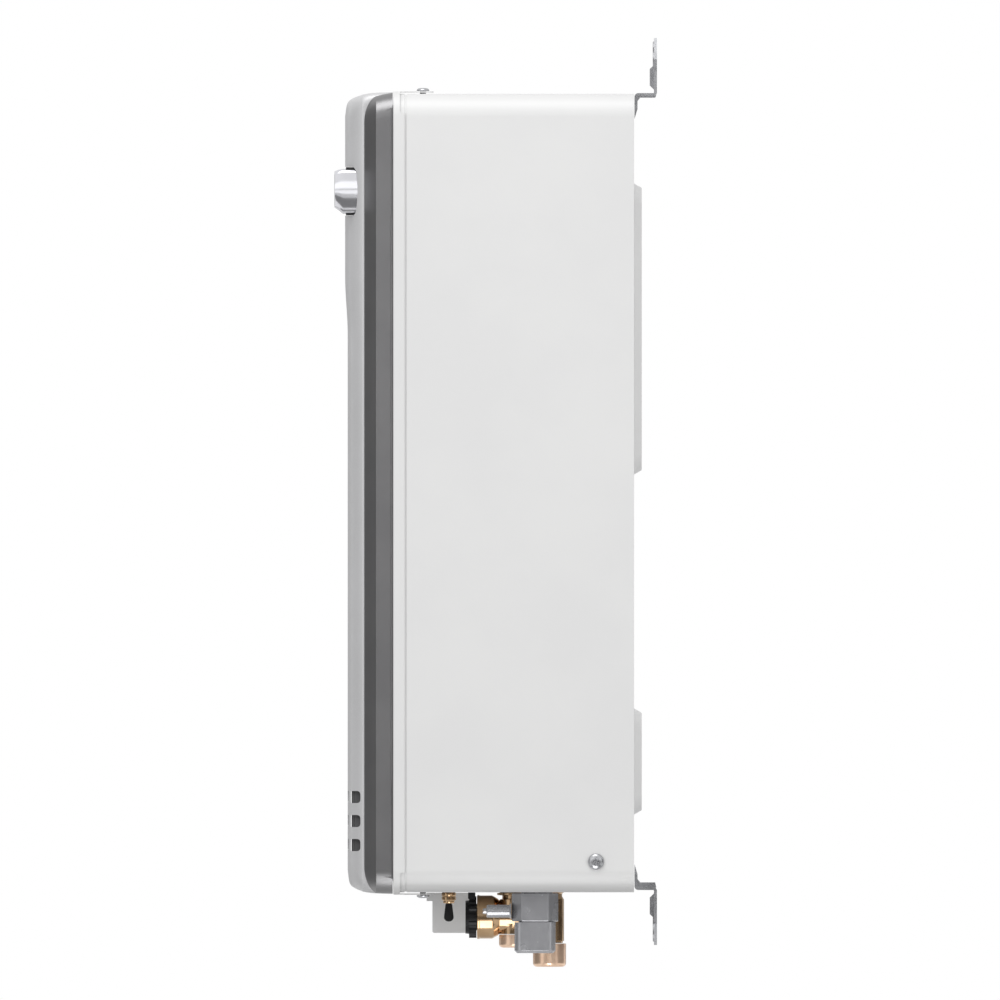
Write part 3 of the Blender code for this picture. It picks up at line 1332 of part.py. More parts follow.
def burner_box(finish):
    """The sheet box round the burners, open to the drum above and to the fan below."""
    outer = (BURNER_HALF_WIDTH, BURNER_HALF_DEPTH, BURNER_CORNER)
    inner = tuple(size - BURNER_SHEET for size in outer)
    rings = []
    for sizes, z in [
        (outer, BURNER_TOP), (outer, BURNER_BOTTOM),
        (inner, BURNER_BOTTOM + BURNER_SHEET), (inner, BURNER_TOP),
    ]:
        rings.append([(u, v + EXCHANGER_Y, z) for u, v in rounded_box(*sizes, 2)])
    piece = new_object("burner_box", loft([rings[1], rings[0], rings[3], rings[2]]), finish)
    near, far = BURNER_FACE - OVERRUN, BURNER_FACE + BURNER_SHEET + OVERRUN
    place = (SIGHT_X, ELECTRODE_Z)
    bores = [hole(SIGHT_RADIUS - SIGHT_BOLT_RING, "Y", place, near, far, HOLE_STEPS)]
    for x in bar_places():
        place = (x, MANIFOLD_Z)
        bores.append(hole(NOZZLE_RADIUS + SLIP, "Y", place, near, far, SMALL_TURN_STEPS))
    for x in electrode_places():
        place = (x, ELECTRODE_Z)
        bores.append(hole(CERAMIC_RADIUS + SLIP, "Y", place, near, far, SMALL_TURN_STEPS))
    cut(piece, together(bores), "holes")
    low, high = duct_span()
    throat = block(
        (low + FAN_SHEET, FAN_FRONT + FAN_SHEET, BURNER_BOTTOM - OVERRUN),
        (high - FAN_SHEET, FAN_REAR - FAN_SHEET, BURNER_BOTTOM + BURNER_SHEET + OVERRUN),
    )
    return cut(piece, throat, "air inlet")


def burner_bars(finish):
    """A row of narrow burners on two rails."""
    reach = BURNER_HALF_DEPTH - BURNER_SHEET - BAR_END_GAP
    low = BURNER_BOTTOM + BAR_RISE
    bars = []
    for x in bar_places():
        section = [
            (x - BAR_WIDTH / 2, low), (x + BAR_WIDTH / 2, low), (x + BAR_WIDTH / 2, low + BAR_HEIGHT / 2),
            (x + BAR_TOP_WIDTH / 2, low + BAR_HEIGHT), (x - BAR_TOP_WIDTH / 2, low + BAR_HEIGHT),
            (x - BAR_WIDTH / 2, low + BAR_HEIGHT / 2),
        ]
        bars.append(prism(section, "Y", EXCHANGER_Y - reach, EXCHANGER_Y + reach))
    piece = new_object("burner_bars", together(bars), finish)
    rails = []
    end = BURNER_HALF_WIDTH - BURNER_SHEET - SLIP
    for side in (-1, 1):
        y = EXCHANGER_Y + side * (reach - 2 * BAR_RAIL)
        rails.append(block((-end, y - BAR_RAIL, low - BAR_RAIL), (end, y + BAR_RAIL, low + BAR_RAIL)))
    return join(piece, together(rails), "rails")


def gas_manifold(finish):
    """The bar that spreads gas to the nozzles, with a bore from its fed end."""
    rear = MANIFOLD_REAR
    low, high = MANIFOLD_Z - MANIFOLD_HEIGHT / 2, MANIFOLD_Z + MANIFOLD_HEIGHT / 2
    half = MANIFOLD_HALF_WIDTH
    piece = new_object("gas_manifold", block((-half, MANIFOLD_FRONT, low), (half, rear, high)), finish)
    ears = []
    for side in (-1, 1):
        x = side * (half - 2 * MANIFOLD_EAR)
        ears.append(block(
            (x - MANIFOLD_EAR, rear - MANIFOLD_EAR_DEPTH, high - FIT),
            (x + MANIFOLD_EAR, rear, high + MANIFOLD_EAR),
        ))
    join(piece, together(ears), "ears")
    middle = (MANIFOLD_FRONT + rear) / 2
    bore = rod(FEED_BORE, "X", (middle, MANIFOLD_Z), MANIFOLD_EAR - half, half + OVERRUN, HOLE_STEPS)
    return cut(piece, bore, "bore")


def gas_nozzle_plate(finish):
    """The strip that carries one brass nozzle for each burner."""
    rear = BURNER_FACE - FIT
    front = rear - NOZZLE_PLATE
    half = MANIFOLD_HALF_WIDTH
    low, high = MANIFOLD_Z - MANIFOLD_HEIGHT / 2, MANIFOLD_Z + MANIFOLD_HEIGHT / 2
    piece = new_object("gas_nozzle_plate", block((-half, front, low), (half, rear, high)), finish)
    start = (front + rear) / 2
    end = rear + NOZZLE_REACH
    profile = [
        (0.0, start), (NOZZLE_RADIUS, start), (NOZZLE_RADIUS, (rear + end) / 2),
        (NOZZLE_TIP, end), (0.0, end),
    ]
    nozzles = [turned(profile, "Y", (x, MANIFOLD_Z), SMALL_TURN_STEPS) for x in bar_places()]
    return join(piece, together(nozzles), "nozzles")


def electrode_places():
    return [IGNITER_X, IGNITER_X - IGNITER_SPACING, FLAME_ROD_X]


def electrode_set(finish):
    """A plate with two spark electrodes and a flame rod in ceramic sleeves."""
    rear = BURNER_FACE - FIT
    front = rear - ELECTRODE_PLATE
    margin = CERAMIC_RADIUS + ELECTRODE_PLATE_MARGIN
    places = electrode_places()
    outline = box_outline(
        min(places) - margin, ELECTRODE_Z - margin, max(places) + margin, ELECTRODE_Z + margin
    )
    piece = new_object("electrode_set", prism(outline, "Y", front, rear), finish)
    near, far = front - CERAMIC_OUT, rear + CERAMIC_IN
    tip = far + ELECTRODE_REACH
    edge = CERAMIC_RADIUS / 3
    profile = [
        (0.0, near), (CERAMIC_RADIUS - edge, near), (CERAMIC_RADIUS, near + edge), (CERAMIC_RADIUS, far),
        (ELECTRODE_RADIUS, far), (ELECTRODE_RADIUS, tip), (0.0, tip),
    ]
    sleeves = [turned(profile, "Y", (x, ELECTRODE_Z), SMALL_TURN_STEPS) for x in places]
    return join(piece, together(sleeves), "sleeves")


def sight_glass(finish):
    """The window through which the flame is seen, in its ring."""
    rear = BURNER_FACE - FIT
    profile = [
        (0.0, rear), (SIGHT_RADIUS, rear), (SIGHT_RADIUS, rear - SIGHT_DEPTH),
        (SIGHT_RADIUS - SIGHT_BOLT_RING, rear - SIGHT_DEPTH),
        (SIGHT_RADIUS - SIGHT_BOLT_RING, rear - SIGHT_DEPTH / 2), (0.0, rear - SIGHT_DEPTH / 2),
    ]
    return new_object("sight_glass", turned(profile, "Y", (SIGHT_X, ELECTRODE_Z)), finish)


# Fan


def duct_span():
    """The left and right outsides of the fan's outlet."""
    left = FAN_X + SCROLL_MIN * math.cos(math.radians(TONGUE_DEGREES)) - FAN_SHEET
    return left, FAN_X + SCROLL_MAX + FAN_SHEET


def scroll_outline(wall, top):
    """A spiral that opens from the tongue round to the outlet, which goes straight up."""
    points = []
    tongue = math.radians(TONGUE_DEGREES)
    for step in range(SCROLL_STEPS + 1):
        share = step / SCROLL_STEPS
        angle = tongue + (2 * math.pi - tongue) * share
        radius = SCROLL_MIN + (SCROLL_MAX - SCROLL_MIN) * share + wall
        points.append((FAN_X + radius * math.cos(angle), FAN_Z + radius * math.sin(angle)))
    left, right = duct_span()
    points.append((right - FAN_SHEET + wall, top))
    points.append((left + FAN_SHEET - wall, top))
    return points


def fan_housing(finish):
    """The scroll round the fan wheel, open at its inlet and at its outlet."""
    top = BURNER_BOTTOM - FIT
    shape = prism(scroll_outline(FAN_SHEET, top), "Y", FAN_FRONT, FAN_REAR)
    piece = new_object("fan_housing", shape, finish)
    hollow = prism(scroll_outline(0.0, top + OVERRUN), "Y", FAN_FRONT + FAN_SHEET, FAN_REAR - FAN_SHEET)
    cut(piece, hollow, "hollow")
    centre = (FAN_X, FAN_Z)
    near, far = FAN_FRONT + FAN_SHEET + WHEEL_DISC, FAN_REAR - FAN_SHEET - WHEEL_DISC
    inlet = hole(WHEEL_INNER_RADIUS, "Y", centre, FAN_FRONT - OVERRUN, near)
    shaft = hole(SHAFT_RADIUS + SLIP, "Y", centre, far, FAN_REAR + OVERRUN, HOLE_STEPS)
    return cut(piece, together([inlet, shaft]), "inlet and shaft holes")


def blade_outline(turn):
    """One forward-curved blade of the fan wheel, seen from the front."""
    near, far = [], []
    for radius, sweep in [(WHEEL_INNER_RADIUS, 0.0), (WHEEL_RADIUS - FIT, BLADE_SWEEP_DEGREES)]:
        angle = turn + math.radians(sweep)
        spread = BLADE_THICKNESS / 2 / radius
        near.append((radius * math.cos(angle - spread), radius * math.sin(angle - spread)))
        far.append((radius * math.cos(angle + spread), radius * math.sin(angle + spread)))
    return near + far[::-1]


def fan_wheel(finish):
    """The turning wheel: a disc with hub and shaft, blades and a front ring."""
    rear = FAN_REAR - FAN_SHEET - WHEEL_REAR_GAP
    front = rear - WHEEL_WIDTH
    boss = rear - WHEEL_HUB_LENGTH
    end = MOTOR_FRONT + SHAFT_REACH
    profile = [
        (0.0, end), (SHAFT_RADIUS, end), (SHAFT_RADIUS, rear), (WHEEL_RADIUS, rear),
        (WHEEL_RADIUS, rear - WHEEL_DISC), (WHEEL_HUB, rear - WHEEL_DISC),
        (WHEEL_HUB - WHEEL_DISC, boss), (0.0, boss),
    ]
    piece = new_object("fan_wheel", turned(profile, "Y", (0.0, 0.0), WIDE_TURN_STEPS), finish)
    thick = 2 * WHEEL_DISC
    ring = [
        (WHEEL_RADIUS, front), (WHEEL_RADIUS, front + thick), (WHEEL_RADIUS - thick, front + thick),
        (WHEEL_RADIUS - thick, front),
    ]
    join(piece, turned(ring, "Y", (0.0, 0.0), WIDE_TURN_STEPS), "ring")
    blades = []
    for index in range(WHEEL_BLADES):
        outline = blade_outline(2 * math.pi * index / WHEEL_BLADES)
        blades.append(prism(outline, "Y", front + WHEEL_DISC, rear - WHEEL_DISC / 2))
    join(piece, together(blades), "blades")
    return moved_to(piece, (FAN_X, 0.0, FAN_Z))


def fan_motor(finish):
    """The motor behind the fan, with a bore for the wheel's shaft."""
    shoulder = MOTOR_FRONT + MOTOR_BOSS_LENGTH
    bore = SHAFT_RADIUS + SLIP
    profile = [
        (0.0, MOTOR_REAR), (MOTOR_RADIUS - MOTOR_EDGE, MOTOR_REAR), (MOTOR_RADIUS, MOTOR_REAR - MOTOR_EDGE),
        (MOTOR_RADIUS, shoulder + MOTOR_EDGE), (MOTOR_RADIUS - MOTOR_EDGE, shoulder), (MOTOR_BOSS, shoulder),
        (MOTOR_BOSS, MOTOR_FRONT), (bore, MOTOR_FRONT), (bore, shoulder), (0.0, shoulder),
    ]
    return new_object("fan_motor", turned(profile, "Y", (FAN_X, FAN_Z)), finish)


# Gas pieces


def coil_places():
    """The valve's two coils: x, z, radius and length."""
    return [
        (VALVE_X, VALVE_BOTTOM + COIL_RISE, COIL_RADIUS, COIL_LENGTH),
        (VALVE_X, VALVE_BOTTOM + BIG_COIL_RISE, BIG_COIL_RADIUS, BIG_COIL_LENGTH),
    ]


def gas_valve_body(finish):
    """The cast block that the gas passes through, with a bore up its middle."""
    shape = block(
        (VALVE_X - VALVE_HALF_WIDTH, VALVE_FACE, VALVE_BOTTOM),
        (VALVE_X + VALVE_HALF_WIDTH, VALVE_Y + VALVE_HALF_DEPTH, VALVE_TOP),
    )
    piece = new_object("gas_valve_body", shape, finish)
    bevelled(piece, VALVE_BEVEL)
    deep = VALVE_HEIGHT / 3
    inlet = rod(VALVE_PORT, "Z", (GAS_X, GAS_Y), VALVE_BOTTOM - OVERRUN, VALVE_BOTTOM + deep, HOLE_STEPS)
    outlet = rod(FEED_BORE, "Z", FEED_START, VALVE_TOP - deep, VALVE_TOP + OVERRUN, HOLE_STEPS)
    return cut(piece, together([inlet, outlet]), "ports")


def valve_coil(name, place, finish):
    """A coil on the valve's face, bored for its plunger."""
    x, z, radius, length = place
    rear = VALVE_FACE - FIT
    front = rear - length
    bore = PLUNGER_RADIUS + SLIP
    profile = [
        (0.0, rear), (radius, rear), (radius, front), (bore, front), (bore, front + PLUNGER_LENGTH),
        (0.0, front + PLUNGER_LENGTH),
    ]
    return new_object(name, turned(profile, "Y", (x, z)), finish)


def plunger(name, place, finish):
    """A steel plunger that its coil draws in."""
    x, z, _, length = place
    front = VALVE_FACE - FIT - length - PLUNGER_PROUD
    rear = front + PLUNGER_PROUD + PLUNGER_LENGTH - PLUNGER_TRAVEL - FIT
    edge = PLUNGER_RADIUS / 5
    profile = [
        (0.0, front), (PLUNGER_RADIUS - edge, front), (PLUNGER_RADIUS, front + edge),
        (PLUNGER_RADIUS, rear), (0.0, rear),
    ]
    return new_object(name, turned(profile, "Y", (x, z), HOLE_STEPS), finish)


def gas_feed_pipe(finish):
    """From the top of the valve up and over to the end of the manifold."""
    x, y = FEED_START
    middle = (MANIFOLD_FRONT + MANIFOLD_REAR) / 2
    route = [
        (x, y, VALVE_TOP + FIT), (x, y, MANIFOLD_Z), (x, middle, MANIFOLD_Z),
        (MANIFOLD_HALF_WIDTH + FIT, middle, MANIFOLD_Z),
    ]
    return pipe("gas_feed_pipe", filleted(route, FEED_BEND, closed=False), FEED_RADIUS, finish)


def gas_inlet_fitting(finish):
    """A casting through the floor: flange and column above, hexagon and squarish collar below."""
    place = (GAS_X, GAS_Y)
    low = CASE_BOTTOM - GAS_SPIGOT_DROP
    hex_low = CASE_BOTTOM - GAS_HEX_DROP
    top = VALVE_BOTTOM - FIT
    profile = [
        (0.0, hex_low + SPIGOT_ROUND), (COLUMN_RADIUS, hex_low + SPIGOT_ROUND),
        (COLUMN_RADIUS, FLANGE_LOW), (FITTING_FLANGE, FLANGE_LOW), (FITTING_FLANGE, FLANGE_TOP),
        (COLUMN_RADIUS, FLANGE_TOP), (COLUMN_RADIUS, top), (0.0, top),
    ]
    piece = new_object("gas_inlet_fitting", turned(profile, "Z", place), finish)
    hexagon = prism(polygon(GAS_HEX_HALF, HEX_SIDES, place), "Z", hex_low, CASE_BOTTOM - SLIP)
    join(piece, hexagon, "hexagon")
    rings = []
    edge = SPIGOT_ROUND
    for z, inset in [(hex_low + edge / 2, edge / 2), (hex_low - edge, 0.0), (low + edge, 0.0), (low, edge)]:
        half = GAS_COLLAR_HALF - inset
        outline = shifted(rounded_box(half, half, GAS_COLLAR_CORNER - inset), *place)
        rings.append([(u, v, z) for u, v in outline])
    join(piece, loft(rings), "collar")
    bore = rod(GAS_BORE, "Z", place, low - OVERRUN, VALVE_BOTTOM + OVERRUN, HOLE_STEPS)
    return cut(piece, bore, "bore")


def test_nipple(finish):
    """The pressure test point on the front of the gas fitting."""
    rear = GAS_HEX_FRONT - FIT
    front = NIPPLE_FRONT
    bore = NIPPLE_SCREW_RADIUS + FIT
    end = front + NIPPLE_SCREW_IN
    profile = [
        (0.0, rear), (NIPPLE_RADIUS, rear), (NIPPLE_RADIUS, front + SPIGOT_GROOVE),
        (NIPPLE_RADIUS - SPIGOT_GROOVE, front), (bore, front), (bore, end), (0.0, end),
    ]
    return new_object("test_nipple", turned(profile, "Y", NIPPLE_PLACE, HOLE_STEPS), finish)


def test_nipple_screw(finish):
    """The screw that shuts the test point."""
    front = NIPPLE_FRONT - NIPPLE_SCREW_OUT
    rear = NIPPLE_FRONT + NIPPLE_SCREW_IN - FIT
    edge = SPIGOT_GROOVE
    profile = [
        (0.0, front), (NIPPLE_SCREW_RADIUS - edge, front), (NIPPLE_SCREW_RADIUS - FIT, front + edge),
        (NIPPLE_SCREW_RADIUS - FIT, rear), (0.0, rear),
    ]
    return new_object("test_nipple_screw", turned(profile, "Y", NIPPLE_PLACE, HOLE_STEPS), finish)


# Water pieces


def cold_inlet_body(finish):
    """A brass casting: a column through the floor, with the filter's barrel facing front."""
    place = (COLD_X, COLD_Y)
    low = CASE_BOTTOM - COLD_SPIGOT_DROP + PIPE_END
    profile = [
        (0.0, low), (COLUMN_RADIUS, low), (COLUMN_RADIUS, FLANGE_LOW), (FITTING_FLANGE, FLANGE_LOW),
        (FITTING_FLANGE, FLANGE_TOP), (0.0, FLANGE_TOP),
    ]
    piece = new_object("cold_inlet_body", turned(profile, "Z", place), finish)
    neck = COLD_Y - COLD_NECK_FRONT
    rear = COLD_Y + COLD_BARREL_BACK
    barrel = [
        (0.0, BARREL_FRONT), (COLD_BARREL_RADIUS, BARREL_FRONT), (COLD_BARREL_RADIUS, neck),
        (COLD_NECK_RADIUS, neck), (COLD_NECK_RADIUS, rear), (0.0, rear),
    ]
    join(piece, turned(barrel, "Y", (COLD_X, BARREL_Z)), "barrel")
    cut(piece, rod(WATER_BORE, "Z", place, low - OVERRUN, FLANGE_TOP + OVERRUN), "bore")
    near, far = BARREL_FRONT - OVERRUN, rear - COLD_BARREL_END
    return cut(piece, hole(STRAINER_BORE, "Y", (COLD_X, BARREL_Z), near, far), "filter bore")


def pipe_end(name, place, low, high, finish):
    """A pale bronze end with rounded rim, where the house's pipe screws on."""
    edge = SPIGOT_ROUND
    profile = [
        (WATER_SPIGOT_RADIUS, high), (WATER_SPIGOT_RADIUS, low + edge),
        (WATER_SPIGOT_RADIUS - edge / 3, low + edge / 3), (WATER_SPIGOT_RADIUS - edge, low),
        (WATER_BORE, low), (WATER_BORE, high),
    ]
    return new_object(name, turned(profile, "Z", place), finish)


def ribbed_outline(radius, depth, ribs):
    """A circle whose rim steps in and out."""
    points = []
    for index in range(ribs * 4):
        turn = 2 * math.pi * (index + 0.5) / (ribs * 4)
        reach = radius if index % 4 < 2 else radius - depth
        points.append((reach * math.cos(turn), reach * math.sin(turn)))
    return points


def filter_knob(finish):
    """The ribbed cap that screws the strainer into its barrel."""
    rear = BARREL_FRONT - FIT
    front = rear - KNOB_THICKNESS
    rim = ribbed_outline(KNOB_RADIUS, KNOB_RIB_DEPTH, KNOB_RIBS)
    piece = new_object("filter_knob", prism(rim, "Y", front, rear), finish)
    neck = rod(STRAINER_RADIUS, "Y", (0.0, 0.0), rear - FIT * 2, rear + KNOB_NECK)
    join(piece, neck, "neck")
    hollows = []
    for side in (-1, 1):
        outline = [(u, v) for u, v in circle(KNOB_DISH, WIDE_TURN_STEPS) if side * v > KNOB_GRIP_HALF]
        outline = sorted(outline, key=lambda point: -side * point[0])
        ends = [(-outline[0][0], side * KNOB_GRIP_HALF), (outline[0][0], side * KNOB_GRIP_HALF)]
        hollows.append(prism(outline + ends, "Y", front - OVERRUN, front + KNOB_FACE_RECESS))
    cut(piece, together(hollows), "grip")
    return moved_to(piece, (COLD_X, 0.0, BARREL_Z))


def filter_strainer(finish):
    """The water filter's cage, which draws out behind the knob."""
    front = BARREL_FRONT + KNOB_NECK + FIT
    rear = front + STRAINER_LENGTH
    inner = STRAINER_RADIUS - STRAINER_WALL
    profile = [
        (STRAINER_RADIUS, front), (STRAINER_RADIUS, rear), (inner, rear), (inner, front),
    ]
    piece = new_object("filter_strainer", turned(profile, "Y", (COLD_X, BARREL_Z)), finish)
    cutters = []
    for index in range(STRAINER_WINDOWS):
        angle = 2 * math.pi * index / STRAINER_WINDOWS
        along = Vector((math.cos(angle), math.sin(angle)))
        across = Vector((-along.y, along.x)) * STRAINER_WINDOW_HALF
        near, far = along * (inner / 2), along * (STRAINER_RADIUS + OVERRUN)
        outline = [near - across, far - across, far + across, near + across]
        outline = shifted([tuple(point) for point in outline], COLD_X, BARREL_Z)
        cutters.append(prism(outline, "Y", front + STRAINER_RING, rear - STRAINER_RING))
    return cut(piece, together(cutters), "windows")


def flow_sensor_body(finish):
    """The chamber that holds the flow turbine, above the cold inlet."""
    low, high = SENSOR_LOW, SENSOR_TOP
    neck, chamber = SENSOR_NECK_LENGTH, SENSOR_CHAMBER
    edge = SENSOR_RADIUS - SENSOR_NECK
    profile = [
        (SENSOR_NECK, low), (SENSOR_NECK, low + neck), (SENSOR_RADIUS, low + neck),
        (SENSOR_RADIUS, low + 2 * neck), (SENSOR_COLLAR, low + 2 * neck),
        (SENSOR_COLLAR, low + 2 * neck + SENSOR_COLLAR_THICKNESS),
        (SENSOR_RADIUS, low + 2 * neck + SENSOR_COLLAR_THICKNESS),
        (SENSOR_RADIUS, high - neck), (SENSOR_NECK, high - neck + edge), (SENSOR_NECK, high),
        (WATER_BORE, high), (WATER_BORE, high - neck), (chamber, high - neck),
        (chamber, low + neck + edge), (WATER_BORE, low + neck + edge), (WATER_BORE, low),
    ]
    return new_object("flow_sensor_body", turned(profile, "Z", (COLD_X, COLD_Y)), finish)


def flow_turbine(finish):
    """The rotor that the water spins: a hub with vanes, twisted along its length."""
    base = SENSOR_LOW + SENSOR_NECK_LENGTH + SENSOR_RADIUS - SENSOR_NECK + SLIP
    edges = [(TURBINE_HUB, -1), (TURBINE_RADIUS, -1), (TURBINE_RADIUS, 1), (TURBINE_HUB, 1)]
    rings = []
    for step in range(BEND_STEPS + 1):
        share = step / BEND_STEPS
        z = base + TURBINE_HEIGHT * share
        ring = []
        for index in range(TURBINE_BLADES):
            turn = 2 * math.pi * index / TURBINE_BLADES + math.radians(TURBINE_TWIST_DEGREES) * share
            for radius, side in edges:
                angle = turn + side * TURBINE_BLADE / 2 / radius
                ring.append((radius * math.cos(angle), radius * math.sin(angle), z))
        rings.append(ring)
    piece = new_object("flow_turbine", loft(rings), finish)
    return moved_to(piece, (COLD_X, COLD_Y, 0.0))


def cold_pipe(finish):
    """From the flow sensor back, across and up to the exchanger's tube."""
    level = SENSOR_TOP + COLD_TURN_RISE
    side = COIL_HALF_WIDTH
    route = [
        (COLD_X, COLD_Y, SENSOR_TOP + FIT), (COLD_X, COLD_Y, level), (COLD_X, COIL_INLET_Y, level),
        (side, COIL_INLET_Y, level), (side, COIL_INLET_Y, COIL_LOW - COIL_TAIL - FIT),
    ]
    return pipe("cold_pipe", filleted(route, PIPE_BEND, closed=False), TUBE_RADIUS, finish)


def hot_pipe(finish):
    """From the exchanger's tube down the left side to the hot outlet."""
    x = -TUBE_TURN_X
    y = pass_levels()[-1]
    stub = INNER_FLOOR + HOT_STUB_RISE
    level = CASE_BOTTOM + HOT_LEVEL_RISE
    shelf = BURNER_BOTTOM - HOT_CROSS_DROP
    route = [
        (x, y, COIL_LOW - COIL_TAIL - FIT), (x, y, shelf), (x, HOT_Y, shelf), (HOT_INNER_X, HOT_Y, shelf),
        (HOT_INNER_X, HOT_Y, level), (HOT_X, HOT_Y, level), (HOT_X, HOT_Y, stub + FIT),
    ]
    return pipe("hot_pipe", filleted(route, PIPE_BEND, closed=False), TUBE_RADIUS, finish)


def hot_outlet_fitting(finish):
    """The brass stub through the floor that carries the hot pipe."""
    low = CASE_BOTTOM - HOT_GROOVE_DROP
    stub = INNER_FLOOR + HOT_STUB_RISE
    neck = low + SPIGOT_GROOVE_WIDTH
    radius = HOT_BODY_RADIUS
    profile = [
        (WATER_BORE, low), (radius - SPIGOT_GROOVE, low), (radius - SPIGOT_GROOVE, neck), (radius, neck),
        (radius, FLANGE_LOW), (FITTING_FLANGE, FLANGE_LOW), (FITTING_FLANGE, FLANGE_TOP),
        (radius, FLANGE_TOP), (radius, stub), (WATER_BORE, stub),
    ]
    return new_object("hot_outlet_fitting", turned(profile, "Z", (HOT_X, HOT_Y)), finish)


def drain_valve_body(finish):
    """The brass cock that empties the heater against frost."""
    place = (DRAIN_X, DRAIN_Y)
    low = CASE_BOTTOM - DRAIN_BODY_DROP
    seat = INNER_FLOOR + FIT
    bore = DRAIN_HANDLE_TOP_HALF + FIT
    top = INNER_FLOOR + DRAIN_PIPE_RISE / 2
    profile = [
        (bore, low), (DRAIN_BODY_HALF, low), (DRAIN_BODY_HALF, seat), (DRAIN_FLANGE, seat),
        (DRAIN_FLANGE, seat + DRAIN_FLANGE_THICKNESS), (DRAIN_BODY_HALF, seat + DRAIN_FLANGE_THICKNESS),
        (DRAIN_BODY_HALF, top), (bore / 2, top), (bore / 2, CASE_BOTTOM), (bore, CASE_BOTTOM),
    ]
    return new_object("drain_valve_body", turned(profile, "Z", place, HOLE_STEPS), finish)


def drain_handle(finish):
    """The black plug of the drain cock, with a flat grip."""
    top = DRAIN_HANDLE_TOP
    low = top - DRAIN_HANDLE_LENGTH
    wide, narrow, thick = DRAIN_HANDLE_HALF, DRAIN_HANDLE_TOP_HALF, DRAIN_HANDLE_THICKNESS / 2
    grip = [(narrow, top), (-narrow, top), (-wide, (top + low) / 2)]
    for step in range(CORNER_STEPS + 1):
        angle = math.pi * (1 + step / CORNER_STEPS)
        grip.append((wide * math.cos(angle), low + wide * (1 + math.sin(angle))))
    grip.append((wide, (top + low) / 2))
    piece = new_object("drain_handle", prism(grip, "X", -thick, thick), finish)
    end = top + DRAIN_BODY_DROP - SLIP
    join(piece, rod(narrow - FIT, "Z", (0.0, 0.0), top - thick, end, HOLE_STEPS), "stem")
    return moved_to(piece, (DRAIN_X, DRAIN_Y, 0.0))


def drain_pipe(finish):
    """The thin pipe from the hot outlet's stub to the drain cock."""
    level = INNER_FLOOR + DRAIN_PIPE_RISE
    route = [
        (DRAIN_X, DRAIN_Y, INNER_FLOOR + DRAIN_PIPE_RISE / 2 + FIT), (DRAIN_X, DRAIN_Y, level),
        (DRAIN_X, HOT_Y, level), (HOT_X - HOT_BODY_RADIUS - FIT, HOT_Y, level),
    ]
    points = filleted(route, DRAIN_PIPE_BEND, closed=False)
    return pipe("drain_pipe", points, DRAIN_PIPE_RADIUS, finish, THIN_PIPE_BEVEL_STEPS)


# Electrical pieces


def control_box(finish):
    """The open tray that holds the control board."""
    piece = new_object(
        "control_box", block((BOX_LEFT, BOX_FRONT, BOX_LOW), (BOX_RIGHT, BOX_BACK, BOX_TOP)), finish
    )
    wall = BOX_WALL
    hollow = block(
        (BOX_LEFT + wall, BOX_FRONT - OVERRUN, BOX_LOW + wall),
        (BOX_RIGHT - wall, BOX_BACK - wall, BOX_TOP - wall),
    )
    cut(piece, hollow, "hollow")
    stands = []
    inset = wall + BOARD_MARGIN + BOARD_STAND_HALF
    half, near, far = BOARD_STAND_HALF, BOARD_FACE + BOARD_THICKNESS + FIT, BOX_BACK - wall / 2
    for u in (BOX_LEFT + inset, BOX_RIGHT - inset):
        for v in (BOX_LOW + inset, BOX_TOP - inset):
            stands.append(block((u - half, near, v - half), (u + half, far, v + half)))
    return join(piece, together(stands), "stands")


def control_board(finish):
    """The board with its larger parts, seen through the tray's mouth."""
    left, right = BOX_LEFT + BOX_WALL + BOARD_MARGIN, BOX_RIGHT - BOX_WALL - BOARD_MARGIN
    low, high = BOX_LOW + BOX_WALL + BOARD_MARGIN, BOX_TOP - BOX_WALL - BOARD_MARGIN
    piece = new_object(
        "control_board", block((left, BOARD_FACE, low), (right, BOARD_FACE + BOARD_THICKNESS, high)), finish
    )
    parts = []
    width, height, room = right - left, high - low, BOARD_FACE - BOX_FRONT
    root = BOARD_FACE + BOARD_THICKNESS / 2
    for across, up, half_u, half_v, tall in BOARD_PART_SHARES:
        x, z = left + width * across, low + height * up
        parts.append(block(
            (x - width * half_u, BOARD_FACE - room * tall, z - height * half_v),
            (x + width * half_u, root, z + height * half_v),
        ))
    top = BOARD_FACE - BUTTON_BODY_HEIGHT
    wells = []
    for x in button_places():
        half = BUTTON_BODY
        parts.append(block((x - half, top, BUTTON_Z - half), (x + half, root, BUTTON_Z + half)))
        place = (x, BUTTON_Z)
        wells.append(hole(BUTTON_RADIUS + FIT, "Y", place, top - OVERRUN, BOARD_FACE - FIT, HOLE_STEPS))
    join(piece, together(parts), "parts")
    return cut(piece, together(wells), "button wells")


def button_places():
    return [BUTTON_MIDDLE - BUTTON_SPREAD, BUTTON_MIDDLE + BUTTON_SPREAD]


def board_button(name, x, finish):
    """A small key that presses into its switch on the board."""
    rear = BOARD_FACE - BUTTON_TRAVEL - SLIP
    front = BOARD_FACE - BUTTON_BODY_HEIGHT - BUTTON_HEIGHT
    return new_object(name, rod(BUTTON_RADIUS, "Y", (x, BUTTON_Z), front, rear, HOLE_STEPS), finish)


